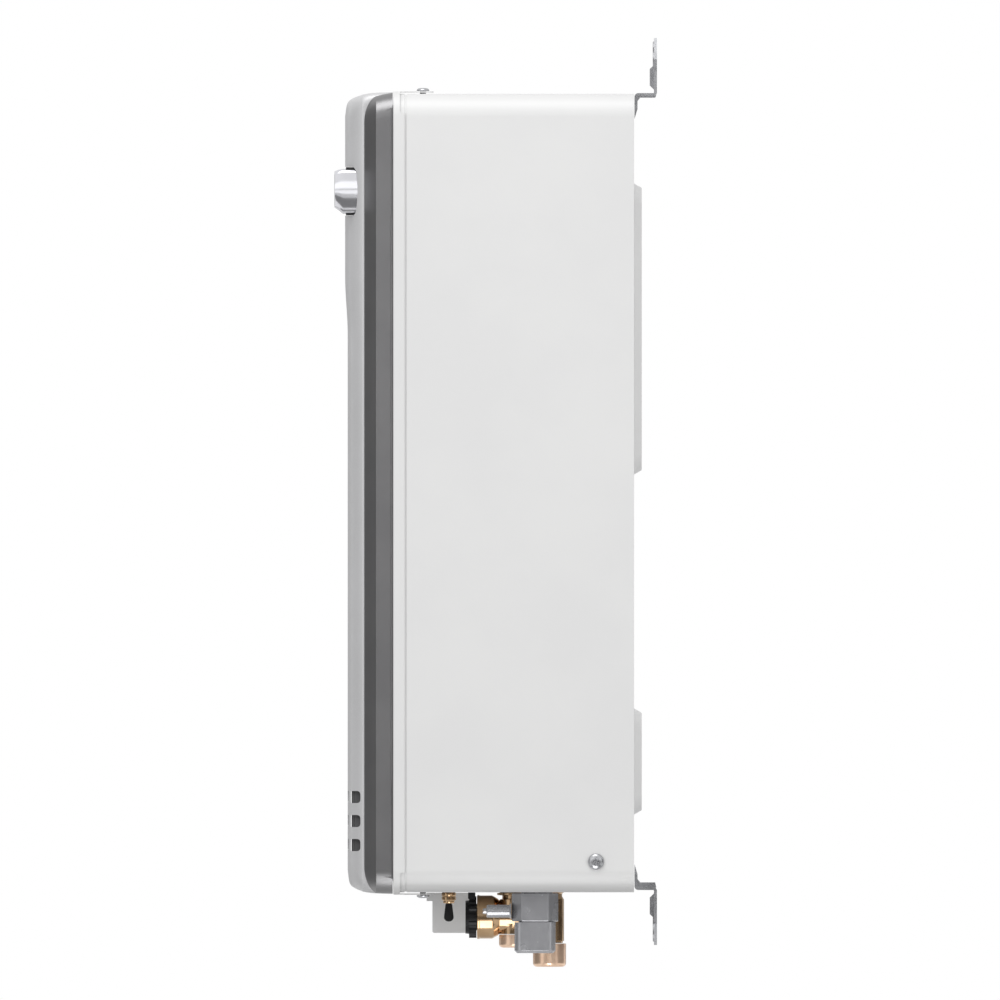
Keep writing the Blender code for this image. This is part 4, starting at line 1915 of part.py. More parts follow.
def junction_box(finish):
    """The cable box under the case, with a lip at its front."""
    left, right = JUNCTION_CENTRE_X - JUNCTION_HALF_WIDTH, JUNCTION_CENTRE_X + JUNCTION_HALF_WIDTH
    top, low = CASE_BOTTOM - FIT, CASE_BOTTOM - JUNCTION_DROP
    piece = new_object(
        "junction_box", block((left, JUNCTION_FRONT, low), (right, JUNCTION_REAR, top)), finish
    )
    wall = JUNCTION_SHEET
    lip = block(
        (left, JUNCTION_FRONT - JUNCTION_LIP, top - JUNCTION_LIP_HEIGHT),
        (right, JUNCTION_FRONT + wall / 2, top),
    )
    join(piece, lip, "lip")
    hollow = block(
        (left + wall, JUNCTION_FRONT + wall, low + wall),
        (right - wall, JUNCTION_REAR - wall, top + OVERRUN),
    )
    cut(piece, hollow, "hollow")
    place = (JUNCTION_CENTRE_X, JUNCTION_MIDDLE)
    return cut(piece, hole(CONDUIT_HOLE, "Z", place, low - OVERRUN, low + OVERRUN, HOLE_STEPS), "entry")


def ignition_transformer(finish):
    """The box that makes the spark's voltage."""
    low, high = (SPARK_LEFT, SPARK_FACE, SPARK_TOP - SPARK_HEIGHT), (SPARK_RIGHT, SPARK_REAR, SPARK_TOP)
    return bevelled(new_object("ignition_transformer", block(low, high), finish), SPARK_BEVEL)


def ignition_lead(finish):
    """The spark lead from the transformer to the nearer electrode."""
    start = SPARK_LEFT + LEAD_SETBACK
    tip = BURNER_FACE - FIT - ELECTRODE_PLATE - CERAMIC_OUT
    out = tip - LEAD_OUT
    route = [
        (start, SPARK_FACE - FIT, ELECTRODE_Z), (start, out, ELECTRODE_Z),
        (IGNITER_X, out, ELECTRODE_Z), (IGNITER_X, tip - FIT, ELECTRODE_Z),
    ]
    points = filleted(route, LEAD_BEND, closed=False)
    return pipe("ignition_lead", points, LEAD_RADIUS, finish, THIN_PIPE_BEVEL_STEPS)


def main():
    clear_scene()
    finish = make_materials()
    case_wrap(finish["case_paint"])
    back_plate(finish["case_paint"])
    bracket("upper_bracket", CASE_TOP, 1, finish["zinc_steel"])
    bracket("lower_bracket", CASE_BOTTOM, -1, finish["zinc_steel"])
    zinc = finish["zinc_steel"]
    for name, place in zip(SIDE_SCREW_NAMES, side_seats()):
        piece = screw_object(name, "X", place, SCREW_HEAD, SCREW_HEAD_HEIGHT, zinc)
        cut(piece, cross("X", *place, SCREW_HEAD, SCREW_HEAD_HEIGHT), "cross")
    for name, place in zip(COVER_SCREW_NAMES, cover_seats()):
        screw_object(name, "Z", place, SMALL_SCREW_HEAD, SMALL_SCREW_HEAD_HEIGHT, zinc)
    front_cover(finish["case_paint"])
    cover_gasket(finish["foam"])
    front_panel(finish["panel_silver"])
    side_trim("side_trim_left", -1, finish["trim_grey"])
    side_trim("side_trim_right", 1, finish["trim_grey"])
    outlet_frame(finish["satin_chrome"])
    outlet_grille(finish["black_plastic"])
    exhaust_hood(finish["bright_steel"])
    heat_exchanger_shell(finish["copper"])
    exchanger_fins(finish["copper"])
    exchanger_tube(finish["copper"])
    burner_box(zinc)
    burner_bars(finish["bright_steel"])
    gas_manifold(finish["cast_aluminium"])
    gas_nozzle_plate(finish["brass"])
    electrode_set(finish["ceramic"])
    sight_glass(finish["glass"])
    fan_housing(finish["cast_aluminium"])
    fan_wheel(finish["bright_steel"])
    fan_motor(finish["black_plastic"])
    gas_valve_body(finish["cast_aluminium"])
    for kind, place in zip(COIL_KINDS, coil_places()):
        valve_coil(f"{kind}_coil", place, finish["black_plastic"])
        plunger(f"{kind}_plunger", place, finish["bright_steel"])
    gas_feed_pipe(finish["copper"])
    gas_inlet_fitting(finish["cast_grey"])
    test_nipple(finish["cast_grey"])
    test_nipple_screw(finish["bright_steel"])
    cold_inlet_body(finish["brass"])
    pipe_end(
        "cold_pipe_end", (COLD_X, COLD_Y), CASE_BOTTOM - COLD_SPIGOT_DROP,
        CASE_BOTTOM - COLD_SPIGOT_DROP + PIPE_END - FIT, finish["bronze_end"],
    )
    filter_knob(finish["black_plastic"])
    filter_strainer(finish["white_plastic"])
    flow_sensor_body(finish["brass"])
    flow_turbine(finish["white_plastic"])
    cold_pipe(finish["copper"])
    hot_pipe(finish["copper"])
    hot_outlet_fitting(finish["brass"])
    pipe_end(
        "hot_pipe_end", (HOT_X, HOT_Y), CASE_BOTTOM - HOT_SPIGOT_DROP,
        CASE_BOTTOM - HOT_GROOVE_DROP - FIT, finish["bronze_end"],
    )
    drain_valve_body(finish["brass"])
    drain_handle(finish["black_plastic"])
    drain_pipe(finish["copper"])
    control_box(finish["box_plastic"])
    control_board(finish["board_green"])
    for name, x in zip(BUTTON_NAMES, button_places()):
        board_button(name, x, finish["red_plastic"])
    junction_box(finish["case_paint"])
    ignition_transformer(finish["black_plastic"])
    ignition_lead(finish["red_plastic"])


main()
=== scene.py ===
# %% [markdown]
# # Dressing a tankless water heater
# The solids of this wall-hung gas heater come ready made, as a frame of named nodes. This lesson gives them
# their looks: smooth metal, mouldings and fittings modelled over the solids, and a finish for each
# material. Everything is in metres. The heater's front faces -Y, the wall is at Y = 0, and +Z is up.

import json
import math

import bmesh
import bpy
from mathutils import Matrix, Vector


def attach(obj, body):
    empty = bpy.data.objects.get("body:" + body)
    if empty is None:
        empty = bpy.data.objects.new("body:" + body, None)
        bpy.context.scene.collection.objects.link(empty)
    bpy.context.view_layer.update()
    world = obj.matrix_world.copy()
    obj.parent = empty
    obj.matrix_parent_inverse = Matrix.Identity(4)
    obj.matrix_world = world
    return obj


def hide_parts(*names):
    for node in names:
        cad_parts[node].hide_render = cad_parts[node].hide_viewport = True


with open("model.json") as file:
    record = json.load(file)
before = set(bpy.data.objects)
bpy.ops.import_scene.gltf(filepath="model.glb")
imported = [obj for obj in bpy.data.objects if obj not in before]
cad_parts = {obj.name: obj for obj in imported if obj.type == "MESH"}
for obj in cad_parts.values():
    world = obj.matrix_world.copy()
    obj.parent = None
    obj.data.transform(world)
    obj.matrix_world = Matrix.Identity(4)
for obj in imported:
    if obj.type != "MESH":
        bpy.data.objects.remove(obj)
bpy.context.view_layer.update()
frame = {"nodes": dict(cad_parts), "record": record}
print("nodes in the frame:", len(frame["nodes"]))

# %% [markdown]
# ## The camera
# The photograph looks straight at the heater's right side through a very long lens, so nothing shrinks with
# distance and neither the top nor the underside shows. An orthographic camera sees exactly that, from
# wherever it stands. Its scale is the width of the picture: a thousand pixels of 0.6625 mm.

# %% Place the camera
PIXEL = 0.0006625
PHOTO_SIDE = 1000
VIEW_DISTANCE = 4.0
VIEW_MIDDLE = (-0.1040, -0.2816)

bpy.ops.object.camera_add(
    location=(VIEW_DISTANCE, *VIEW_MIDDLE), rotation=(math.radians(90), 0, math.radians(90))
)
camera = bpy.context.object
camera.data.type = "ORTHO"
camera.data.ortho_scale = PHOTO_SIDE * PIXEL
bpy.context.scene.camera = camera
print("picture:", round(camera.data.ortho_scale, 4), "m wide")

# %% [markdown]
# ## Light and background
# A studio has big soft lamps and pale surroundings. The world gives even light from all sides, and large
# lamps add a little from above and from both front and rear on the camera's side. Rays from the camera, and
# those that metal and glass reflect, see white instead. Metal needs something darker to reflect too, or it
# looks like paint. So grey cards stand round the heater, as photographers put them, and only reflections
# see them. A bright one lies low in front of the pipes and draws the hard bands on their brass, and another
# draws the white band on the outlet's frame. The floor is a pale plane that throws little light upwards,
# and lies low enough to leave room for views from below.

# %% Light the studio
WORLD_LIGHT = 0.61
FLOOR_LEVEL = -1.5
FLOOR_SIZE = 3.0
FLOOR_TONE = 0.9
FLOOR_BOUNCE = 0.49

bpy.context.scene.view_settings.view_transform = "Standard"
world = bpy.data.worlds.new("studio")
bpy.context.scene.world = world
world.use_nodes = True
background = world.node_tree.nodes["Background"]
background.inputs["Color"].default_value = (1, 1, 1, 1)


def seen_level(tree, hidden, shown):
    """A value for rays from the camera, metal or glass, and another for rays that only light things."""
    path = tree.nodes.new("ShaderNodeLightPath")
    seen = path.outputs["Is Camera Ray"]
    for name in ("Is Glossy Ray", "Is Transmission Ray"):
        either = tree.nodes.new("ShaderNodeMath")
        either.operation = "MAXIMUM"
        tree.links.new(seen, either.inputs[0])
        tree.links.new(path.outputs[name], either.inputs[1])
        seen = either.outputs[0]
    level = tree.nodes.new("ShaderNodeMapRange")
    level.inputs["To Min"].default_value = hidden
    level.inputs["To Max"].default_value = shown
    tree.links.new(seen, level.inputs["Value"])
    return level.outputs["Result"]


world.node_tree.links.new(seen_level(world.node_tree, WORLD_LIGHT, 1.0), background.inputs["Strength"])


def aim_at(thing, place, aim):
    """Turns a lamp or a card so that its -Z side looks at a point."""
    thing.rotation_mode = "QUATERNION"
    thing.rotation_quaternion = (Vector(aim) - Vector(place)).to_track_quat("-Z", "Y")


def add_lamp(name, place, aim, size, power):
    """A square soft lamp at a place, turned to a point. The camera doesn't see it."""
    bpy.ops.object.light_add(type="AREA", location=place)
    lamp = bpy.context.object
    lamp.name = name
    lamp.data.size = size
    lamp.data.energy = power
    lamp.visible_camera = False
    aim_at(lamp, place, aim)
    return lamp


def add_sheet(name, size, place):
    """Adds a flat sheet to the studio. Gives it back with its paper's nodes and its shader's sockets."""
    bpy.ops.mesh.primitive_plane_add(size=size, location=place)
    sheet = bpy.context.object
    sheet.name = name
    paper = bpy.data.materials.new(name + "_paper")
    paper.use_nodes = True
    sheet.data.materials.append(paper)
    return sheet, paper.node_tree, paper.node_tree.nodes["Principled BSDF"].inputs


def add_card(name, place, aim, width, height, shade):
    """A grey card that only reflections see."""
    card, _, paper = add_sheet(name, 1, place)
    card.scale = (width, height, 1)
    aim_at(card, place, aim)
    paper["Base Color"].default_value = (0, 0, 0, 1)
    paper["Emission Color"].default_value = (shade, shade, shade, 1)
    paper["Emission Strength"].default_value = 1.0
    card.visible_camera = card.visible_diffuse = card.visible_shadow = False


HEATER = (0, -0.1, -0.3)
PIPES = (0.05, -0.095, -0.557)
add_lamp("lamp_above", (1.2, -0.5, 2.4), HEATER, 1.8, 36)
for name, place, power in (("lamp_side", (2.2, -1.7, 0.0), 13), ("lamp_rear", (1.8, 1.5, -0.2), 10)):
    add_lamp(name, place, (0, -0.1, -0.35), 1.2, power).visible_glossy = False
add_card("card_side", (2.2, -0.1, -0.49), (0, -0.1, -0.49), 4.0, 1.10, 0.18)
add_card("card_side_strip", (2.1, -0.1, -0.33), (0, -0.1, -0.33), 4.0, 0.15, 0.70)
add_card("card_side_upper", (2.1, -0.1, -0.11), (0, -0.1, -0.11), 4.0, 0.22, 1.35)
add_card("card_side_bright", (2.1, -0.1, 0.24), (0, -0.1, 0.24), 4.0, 0.38, 1.5)
add_card("card_top_edge", (1.6, 0.05, 0.16), (0, 0.05, 0.16), 0.34, 0.56, 0.24)
add_card("card_front", (-0.4, -2.4, -0.3), HEATER, 3.2, 2.4, 0.20)
add_card("card_back", (0, 2.2, -0.3), HEATER, 3.2, 1.4, 0.20)
add_card("card_left", (-2.2, -0.1, -0.45), (0, -0.1, -0.45), 3.4, 1.1, 0.34)
add_card("card_floor", (0.95, -0.1, -0.985), (0.95, -0.1, 0), 1.3, 1.3, 0.30)
add_card("card_below", (0.394, -0.085, -0.8425), PIPES, 0.22, 0.33, 4.5)
_, floor_tree, floor_paper = add_sheet("floor", FLOOR_SIZE, (0, -0.1, FLOOR_LEVEL))
floor_tree.links.new(seen_level(floor_tree, FLOOR_BOUNCE, FLOOR_TONE), floor_paper["Base Color"])
floor_paper["Roughness"].default_value = 0.8
print("lamps:", len(bpy.data.lights))

# %% [markdown]
# ## Shader sums in plain Python
# A finish is a graph of nodes, and a graph is hard to read in code. One small class wraps the output of a
# node. Python's own signs on it add Math nodes, and its method `node` adds any other node.

# %% Define the wire
class Wire:
    """The output of a shader node. Sums on it add Math nodes."""

    def __init__(self, socket):
        self.socket = socket
        self.tree = socket.id_data

    def node(self, kind, settings, inputs, output=0):
        """Adds a node: its settings first, then the values or wires of its sockets."""
        made = self.tree.nodes.new("ShaderNode" + kind)
        for name, value in settings.items():
            setattr(made, name, value)
        for name, value in inputs.items():
            if isinstance(value, Wire):
                self.tree.links.new(value.socket, made.inputs[name])
            else:
                made.inputs[name].default_value = value
        return Wire(made.outputs[output])

    def __add__(self, other):
        return self.node("Math", {"operation": "ADD"}, {0: self, 1: other})

    __radd__ = __add__

    def __mul__(self, other):
        return self.node("Math", {"operation": "MULTIPLY"}, {0: self, 1: other})

    __rmul__ = __mul__

    def noise(self, scale, detail=3.0, stretch=(1, 1, 1)):
        """Cloudy values round 0.5, with lumps of about 1 / scale metres."""
        place = self.node("Mapping", {}, {"Vector": self, "Scale": stretch})
        return self.node("TexNoise", {}, {"Vector": place, "Scale": scale, "Detail": detail})

    def specks(self, scale):
        """Cells of about 1 / scale metres, each with a value of its own."""
        cells = self.node("TexVoronoi", {}, {"Vector": self, "Scale": scale}, "Color")
        return cells.node("SeparateColor", {}, {0: cells})

    def between(self, low, high):
        """0 up to low, 1 from high, and a smooth rise between them."""
        settings = {"interpolation_type": "SMOOTHSTEP"}
        return self.node("MapRange", settings, {"Value": self, "From Min": low, "From Max": high})

    def mix(self, first, second):
        """A colour between two others, by this wire."""
        return self.node("Mix", {"data_type": "RGBA"}, {0: self, 6: first, 7: second}, 2)


# %% [markdown]
# ## The recipe for a finish
# No real surface has one flat colour. Each finish here starts from two close tones that wander into each
# other, a gloss that wanders too, and a fine relief. Stretching the grain makes it read as brushing or
# rolling marks. What sets one material apart, such as tarnish, is added to this start.

# %% Define the recipe
finishes = {}


def tone(red, green, blue):
    return (red, green, blue, 1.0)


class Finish:
    """A material under way: its shader, the point on the piece, and what the recipe has made so far."""

    def __init__(self, name, first, second, gloss, metal, wander):
        self.material = bpy.data.materials.new(name)
        self.material.use_nodes = True
        tree = self.material.node_tree
        self.shader = tree.nodes["Principled BSDF"]
        self.point = Wire(tree.nodes.new("ShaderNodeTexCoord").outputs["Object"])
        cloud = self.point.noise(wander)
        self.colour = cloud.between(0.3, 0.7).mix(tone(*first), tone(*second))
        self.gloss = cloud * gloss[1] + (gloss[0] - gloss[1] / 2)
        self.height = None
        self.shader.inputs["Metallic"].default_value = metal
        finishes[name] = self.material

    def tint(self, mask, share, shade, rougher=0.0):
        """Mixes another colour in where a mask is high, and can make the surface rougher there."""
        self.colour = (mask * share).mix(self.colour, tone(*shade))
        if rougher:
            self.gloss = self.gloss + mask * rougher
        return self

    def relief(self, height, depth):
        """Adds a height, in metres from its lowest to its highest value."""
        inputs = {"Height": height, "Distance": depth, "Strength": 1.0}
        if self.height is not None:
            inputs["Normal"] = self.height
        self.height = self.point.node("Bump", {}, inputs)
        return self

    def grain(self, scale, depth, detail=2, stretch=(1, 1, 1)):
        """A relief of cloudy lumps."""
        return self.relief(self.point.noise(scale, detail, stretch), depth)

    def done(self, **constants):
        """Links the finish to its shader. Constants go on the shader's own sockets."""
        links = self.material.node_tree.links
        links.new(self.colour.socket, self.shader.inputs["Base Color"])
        links.new(self.gloss.socket, self.shader.inputs["Roughness"])
        if self.height is not None:
            links.new(self.height.socket, self.shader.inputs["Normal"])
        for name, value in constants.items():
            self.shader.inputs[name.replace("_", " ")].default_value = value


# %% [markdown]
# ## Painted and moulded finishes
# The case is sheet steel with baked paint, which dries into a faint orange peel. The front panel is plastic
# with silver paint: tiny flakes catch the light. The trims carry a dark metallic paint with a fine grain
# under it.

# %% Mix the paints and plastics
paint = Finish("case_paint", (0.735, 0.735, 0.735), (0.755, 0.755, 0.752), (0.42, 0.06), 0.0, 14)
paint.grain(620, 0.00002).grain(55, 0.00004).done()

silver = Finish("panel_silver", (0.585, 0.585, 0.592), (0.615, 0.615, 0.624), (0.40, 0.05), 0.22, 22)
flake = silver.point.specks(2600).between(0.72, 1.0)
silver.tint(flake, 0.5, (0.68, 0.68, 0.69)).grain(1500, 0.000012).done()

black = Finish("black_plastic", (0.007, 0.007, 0.008), (0.011, 0.011, 0.012), (0.36, 0.10), 0.0, 160)
black.grain(2600, 0.00003).done(Specular_IOR_Level=0.22)

foam = Finish("foam", (0.022, 0.022, 0.023), (0.045, 0.045, 0.046), (0.9, 0.08), 0.0, 400)
cells = foam.point.node("TexVoronoi", {}, {"Vector": foam.point, "Scale": 1500}, "Distance")
foam.relief(cells, 0.0003).done()

for name, first, second, gloss, metal, wander, grain, depth in (
    ("trim_grey", (0.215, 0.213, 0.218), (0.232, 0.230, 0.234), (0.34, 0.05), 0.85, 30, 2400, 0.00002),
    ("white_plastic", (0.70, 0.70, 0.67), (0.76, 0.76, 0.73), (0.42, 0.08), 0.0, 90, 1800, 0.00001),
    ("box_plastic", (0.50, 0.50, 0.48), (0.56, 0.56, 0.54), (0.48, 0.08), 0.0, 60, 2200, 0.00003),
    ("red_plastic", (0.42, 0.025, 0.016), (0.50, 0.035, 0.022), (0.36, 0.08), 0.0, 200, 2400, 0.00002),
):
    Finish(name, first, second, gloss, metal, wander).grain(grain, depth).done()
print("paints and plastics:", len(finishes))

# %% [markdown]
# ## Bare metals
# Zinc plate has soft crystal patches. Brass and bronze are cast and then part machined, so they carry a
# fine cast skin and a thin tarnish that gathers in clouds. Rolled sheet shows marks along its length: the
# grain is stretched.

# %% Mix the metals
zinc = Finish("zinc_steel", (0.38, 0.385, 0.40), (0.47, 0.475, 0.49), (0.25, 0.10), 0.95, 60)
zinc.tint(zinc.point.specks(240), 0.35, (0.52, 0.525, 0.545), 0.06).grain(1100, 0.000005).done()

brass = Finish("brass", (0.44, 0.295, 0.17), (0.52, 0.36, 0.215), (0.12, 0.04), 1.0, 120)
tarnish = brass.point.noise(55, 4).between(0.48, 0.80)
brass.tint(tarnish, 0.35, (0.34, 0.22, 0.12), 0.06).grain(1300, 0.000008, 3).done()

copper = Finish("copper", (0.66, 0.31, 0.18), (0.76, 0.40, 0.25), (0.26, 0.12), 1.0, 45)
oxide = copper.point.noise(38, 5).between(0.42, 0.72)
copper.tint(oxide, 0.6, (0.32, 0.14, 0.09), 0.2).grain(700, 0.00002, 3).done()

bronze = Finish("bronze_end", (0.88, 0.61, 0.44), (0.94, 0.69, 0.51), (0.30, 0.08), 0.9, 150)
bronze.grain(2600, 0.00003, 2, (0.03, 0.03, 1)).grain(300, 0.00003).done()

along_x, along_z = (0.03, 1, 1), (1, 1, 0.05)
for name, first, second, gloss, metal, wander, *grain in (
    ("satin_chrome", (0.66, 0.66, 0.69), (0.71, 0.71, 0.74), (0.11, 0.04), 0.95, 40, 1400, 8e-6, 2, along_x),
    ("cast_grey", (0.41, 0.412, 0.43), (0.455, 0.457, 0.475), (0.27, 0.06), 0.6, 110, 1100, 1.5e-5, 3),
    ("cast_aluminium", (0.48, 0.49, 0.50), (0.58, 0.59, 0.60), (0.46, 0.10), 0.9, 90, 800, 6e-5, 3),
    ("bright_steel", (0.52, 0.52, 0.53), (0.62, 0.62, 0.63), (0.28, 0.08), 1.0, 50, 1200, 1e-5, 2, along_z),
):
    Finish(name, first, second, gloss, metal, wander).grain(*grain).done()

# %% [markdown]
# ## Glass, ceramic and circuit board
# The sight glass is a clear disc, the spark plugs' sleeves are glazed alumina, and the board's green
# lacquer covers copper tracks that show as paler lines.

# %% Mix the rest
glass = Finish("glass", (0.62, 0.70, 0.70), (0.66, 0.74, 0.73), (0.05, 0.02), 0.0, 90)
glass.done(Transmission_Weight=0.7, IOR=1.47)

ceramic = Finish("ceramic", (0.76, 0.75, 0.71), (0.82, 0.81, 0.78), (0.22, 0.06), 0.0, 130)
ceramic.grain(900, 0.00002).done(Coat_Weight=0.4)

board = Finish("board_green", (0.018, 0.11, 0.045), (0.03, 0.15, 0.06), (0.38, 0.08), 0.0, 80)
grid = board.point.node("Mapping", {}, {"Vector": board.point, "Rotation": (math.pi / 2, 0, 0)})
tracks = grid.node(
    "TexBrick", {"offset": 0.37},
    {"Vector": grid, "Scale": 120.0, "Mortar Size": 0.035, "Color1": tone(0, 0, 0), "Color2": tone(0, 0, 0),
     "Mortar": tone(1, 1, 1), "Brick Width": 1.3, "Row Height": 0.4},
)
track = tracks.node("RGBToBW", {}, {0: tracks})
board.tint(track, 0.6, (0.08, 0.30, 0.12)).relief(track, 0.00004).done(Coat_Weight=0.3)
print("finishes:", len(finishes))

# %% [markdown]
# ## Modelling by hand, in code
# The operators of Blender's edit mode act on what is selected. So each step here first lets go of
# everything, takes one piece, and picks its faces, edges or points by where they are or which way they
# look. The edits that come again and again get a short name each: rounding edges, resizing a part, and
# slicing with a plane.

# %% Define how pieces are held, picked and edited
X, Y, Z = range(3)
STRAIGHT = 0.9
TINY = 1e-5
MERGED = 0.000005


def let_go():
    """Leaves edit mode and deselects everything."""
    if bpy.context.object and bpy.context.object.mode != "OBJECT":
        bpy.ops.object.mode_set(mode="OBJECT")
    bpy.ops.object.select_all(action="DESELECT")


def hold(piece):
    """Selects one piece alone."""
    let_go()
    piece.select_set(True)
    bpy.context.view_layer.objects.active = piece
    return piece


def pick(piece, kind, test):
    """In edit mode, selects the points, edges or faces whose middle and direction pass a test."""
    hold(piece)
    bpy.ops.object.mode_set(mode="EDIT")
    bpy.ops.mesh.select_mode(type=kind)
    bpy.ops.mesh.select_all(action="DESELECT")
    mesh = bmesh.from_edit_mesh(piece.data)
    items = {"VERT": mesh.verts, "EDGE": mesh.edges, "FACE": mesh.faces}[kind]
    for item in items:
        if kind == "VERT":
            middle, way = item.co, item.normal
        elif kind == "EDGE":
            first, last = item.verts
            middle, way = (first.co + last.co) / 2, (last.co - first.co).normalized()
        else:
            middle, way = item.calc_center_median(), item.normal
        item.select_set(bool(test(middle, way)))
    mesh.select_flush_mode()
    bmesh.update_edit_mesh(piece.data)


def everything(piece):
    pick(piece, "VERT", lambda middle, way: True)


def along(axis):
    """A test for edges that run along an axis."""
    return lambda middle, way: abs(way[axis]) > STRAIGHT


def facing(axis, sign):
    """A test for faces that look along an axis, or against it."""
    return lambda middle, way: way[axis] * sign > STRAIGHT


def round_edges(piece, test, radius, segments, kind="EDGE"):
    """Bevels the edges that pass a test, or those of the faces that do."""
    pick(piece, kind, test)
    bpy.ops.mesh.bevel(offset=radius, segments=segments, affect="EDGES")
    return piece


def resize(piece, kind, test, share, centre):
    """Resizes what passes a test, about a centre."""
    pick(piece, kind, test)
    bpy.ops.transform.resize(value=share, center_override=centre)


def slice_at(piece, place, way, **what):
    """Bisects a whole piece with a plane."""
    everything(piece)
    bpy.ops.mesh.bisect(plane_co=place, plane_no=way, **what)


def named(piece, name):
    """Back in object mode, with the piece's place in its mesh."""
    hold(piece)
    bpy.ops.object.transform_apply(location=True, rotation=True, scale=True)
    piece.name = name
    piece.data.name = name
    return piece


def tidy_mesh(piece):
    """Merges double points and turns all faces outwards."""
    everything(piece)
    bpy.ops.mesh.remove_doubles(threshold=MERGED)
    bpy.ops.mesh.normals_make_consistent(inside=False)
    let_go()
    return piece


# %% [markdown]
# ## Ways to start a piece
# A box is a cube stretched between two corners, and a block is a box whose edges along one axis are
# rounded. A turned piece is a circle that is extruded along its axis and resized ring by ring, as on a
# lathe, and a rod is the shortest of those.

# %% Define boxes and turned pieces
ROUND_SIDES = 64
AXIS_TURNS = {"Y": (-math.pi / 2, 0, 0), "Z": (0, 0, 0)}


def add_box(name, corner, opposite):
    """A cube at its size and place. Its two corners may be any opposite ones."""
    let_go()
    low, high = (Vector([ends(pair) for pair in zip(corner, opposite)]) for ends in (min, max))
    bpy.ops.mesh.primitive_cube_add(size=1, location=(low + high) / 2)
    piece = bpy.context.object
    piece.scale = high - low
    return named(piece, name)


def add_block(name, corner, opposite, axis, radius, segments):
    return round_edges(add_box(name, corner, opposite), along(axis), radius, segments)


def add_turned(name, axis, centre, profile, sides=ROUND_SIDES):
    """Extrudes a circle through (radius, place along the axis). A last row like the first closes a ring."""
    let_go()
    radius, place = profile[0]
    bpy.ops.mesh.primitive_circle_add(vertices=sides, radius=radius, location=(0, 0, place))
    piece = bpy.context.object
    bpy.ops.object.mode_set(mode="EDIT")
    bpy.ops.mesh.select_mode(type="VERT")
    bpy.ops.mesh.select_all(action="SELECT")
    for next_radius, next_place in profile[1:]:
        bpy.ops.mesh.extrude_region_move(TRANSFORM_OT_translate={"value": (0, 0, next_place - place)})
        share = next_radius / radius
        bpy.ops.transform.resize(value=(share, share, 1), center_override=(0, 0, next_place))
        radius, place = next_radius, next_place
    reach, start = profile[0]
    if profile[-1] != profile[0]:
        bpy.ops.mesh.edge_face_add()
        pick(piece, "VERT", lambda middle, way: abs(middle.z) < 1e-7 and middle.xy.length < reach + 1e-6)
        bpy.ops.mesh.edge_face_add()
    let_go()
    piece.rotation_euler = AXIS_TURNS[axis]
    foot = Vector((centre[0], 0, centre[1]) if axis == "Y" else (*centre, 0))
    piece.location = foot + piece.rotation_euler.to_matrix() @ Vector((0, 0, start))
    return tidy_mesh(named(piece, name))


def add_rod(axis, centre, radius, ends, sides=ROUND_SIDES, name="rod"):
    return add_turned(name, axis, centre, [(radius, end) for end in ends], sides)


# %% [markdown]
# ## Lofts
# A loft extrudes a ring of edges, and lays each new ring on an outline of its own. The heater's front is
# made of rounded rectangles, one behind the other. A band is a loft that closes on itself, and a shell is
# one that comes back on its inside.

# %% Define outlines and lofts
CORNER_STEPS = 12
COVER_MIDDLE = -0.2770


def outline(half_width, half_height, radius, y, steps=CORNER_STEPS, middle=COVER_MIDDLE):
    """Points round a rectangle with rounded corners, at one depth."""
    points = []
    for corner in range(4):
        sign_x, sign_z = ((1, 1), (-1, 1), (-1, -1), (1, -1))[corner]
        centre_x, centre_z = sign_x * (half_width - radius), sign_z * (half_height - radius)
        for step in range(steps + 1):
            angle = math.pi / 2 * (corner + step / steps)
            points.append(
                (centre_x + radius * math.cos(angle), y, middle + centre_z + radius * math.sin(angle))
            )
    return points


def add_loft(name, rings, closed=False):
    """Extrudes a ring of edges, and lays each new ring on its own outline of points."""
    let_go()
    bpy.ops.mesh.primitive_circle_add(vertices=len(rings[0]))
    piece = bpy.context.object
    bpy.ops.object.mode_set(mode="EDIT")
    bpy.ops.mesh.select_mode(type="VERT")
    bpy.ops.mesh.select_all(action="SELECT")
    row = list(range(len(rings[0])))
    for index, ring in enumerate(rings):
        if index:
            bpy.ops.mesh.extrude_region_move()
        mesh = bmesh.from_edit_mesh(piece.data)
        mesh.verts.ensure_lookup_table()
        mesh.verts.index_update()
        if index:
            ahead = []
            for place in row:
                ends = [edge.other_vert(mesh.verts[place]) for edge in mesh.verts[place].link_edges]
                ahead.append(next(end.index for end in ends if end.select))
            row = ahead
        for place, point in zip(row, ring):
            mesh.verts[place].co = point
        bmesh.update_edit_mesh(piece.data)
    if closed:
        pick(piece, "EDGE", lambda middle, way: False)
        mesh = bmesh.from_edit_mesh(piece.data)
        for edge in mesh.edges:
            if edge.is_boundary:
                edge.select_set(True)
        bmesh.update_edit_mesh(piece.data)
        bpy.ops.mesh.bridge_edge_loops()
    else:
        for ring in (rings[0], rings[-1]):
            spots = {tuple(round(value, 6) for value in point) for point in ring}
            pick(piece, "VERT", lambda middle, way: tuple(round(value, 6) for value in middle) in spots)
            bpy.ops.mesh.edge_face_add()
    return tidy_mesh(named(piece, name))


def add_band(name, draw, outer, inner, start, end):
    """A band between an outer and an inner outline, drawn by a function of size and depth."""
    turns = ((outer, start), (outer, end), (inner, end), (inner, start))
    return add_loft(name, [draw(*size, y) for size, y in turns], closed=True)


def add_shell(name, rows, inner_rows, wall):
    """A shell lofted from its front to its rim and back inside. Its rows go from the rim to the front."""
    rings = [outline(width, height, radius, y, middle=middle) for width, height, radius, y, _, middle in rows]
    inside = [
        outline(width - wall, height - wall, radius - wall, y + back, middle=middle)
        for width, height, radius, y, back, middle in inner_rows
    ]
    return add_loft(name, rings[::-1] + inside)


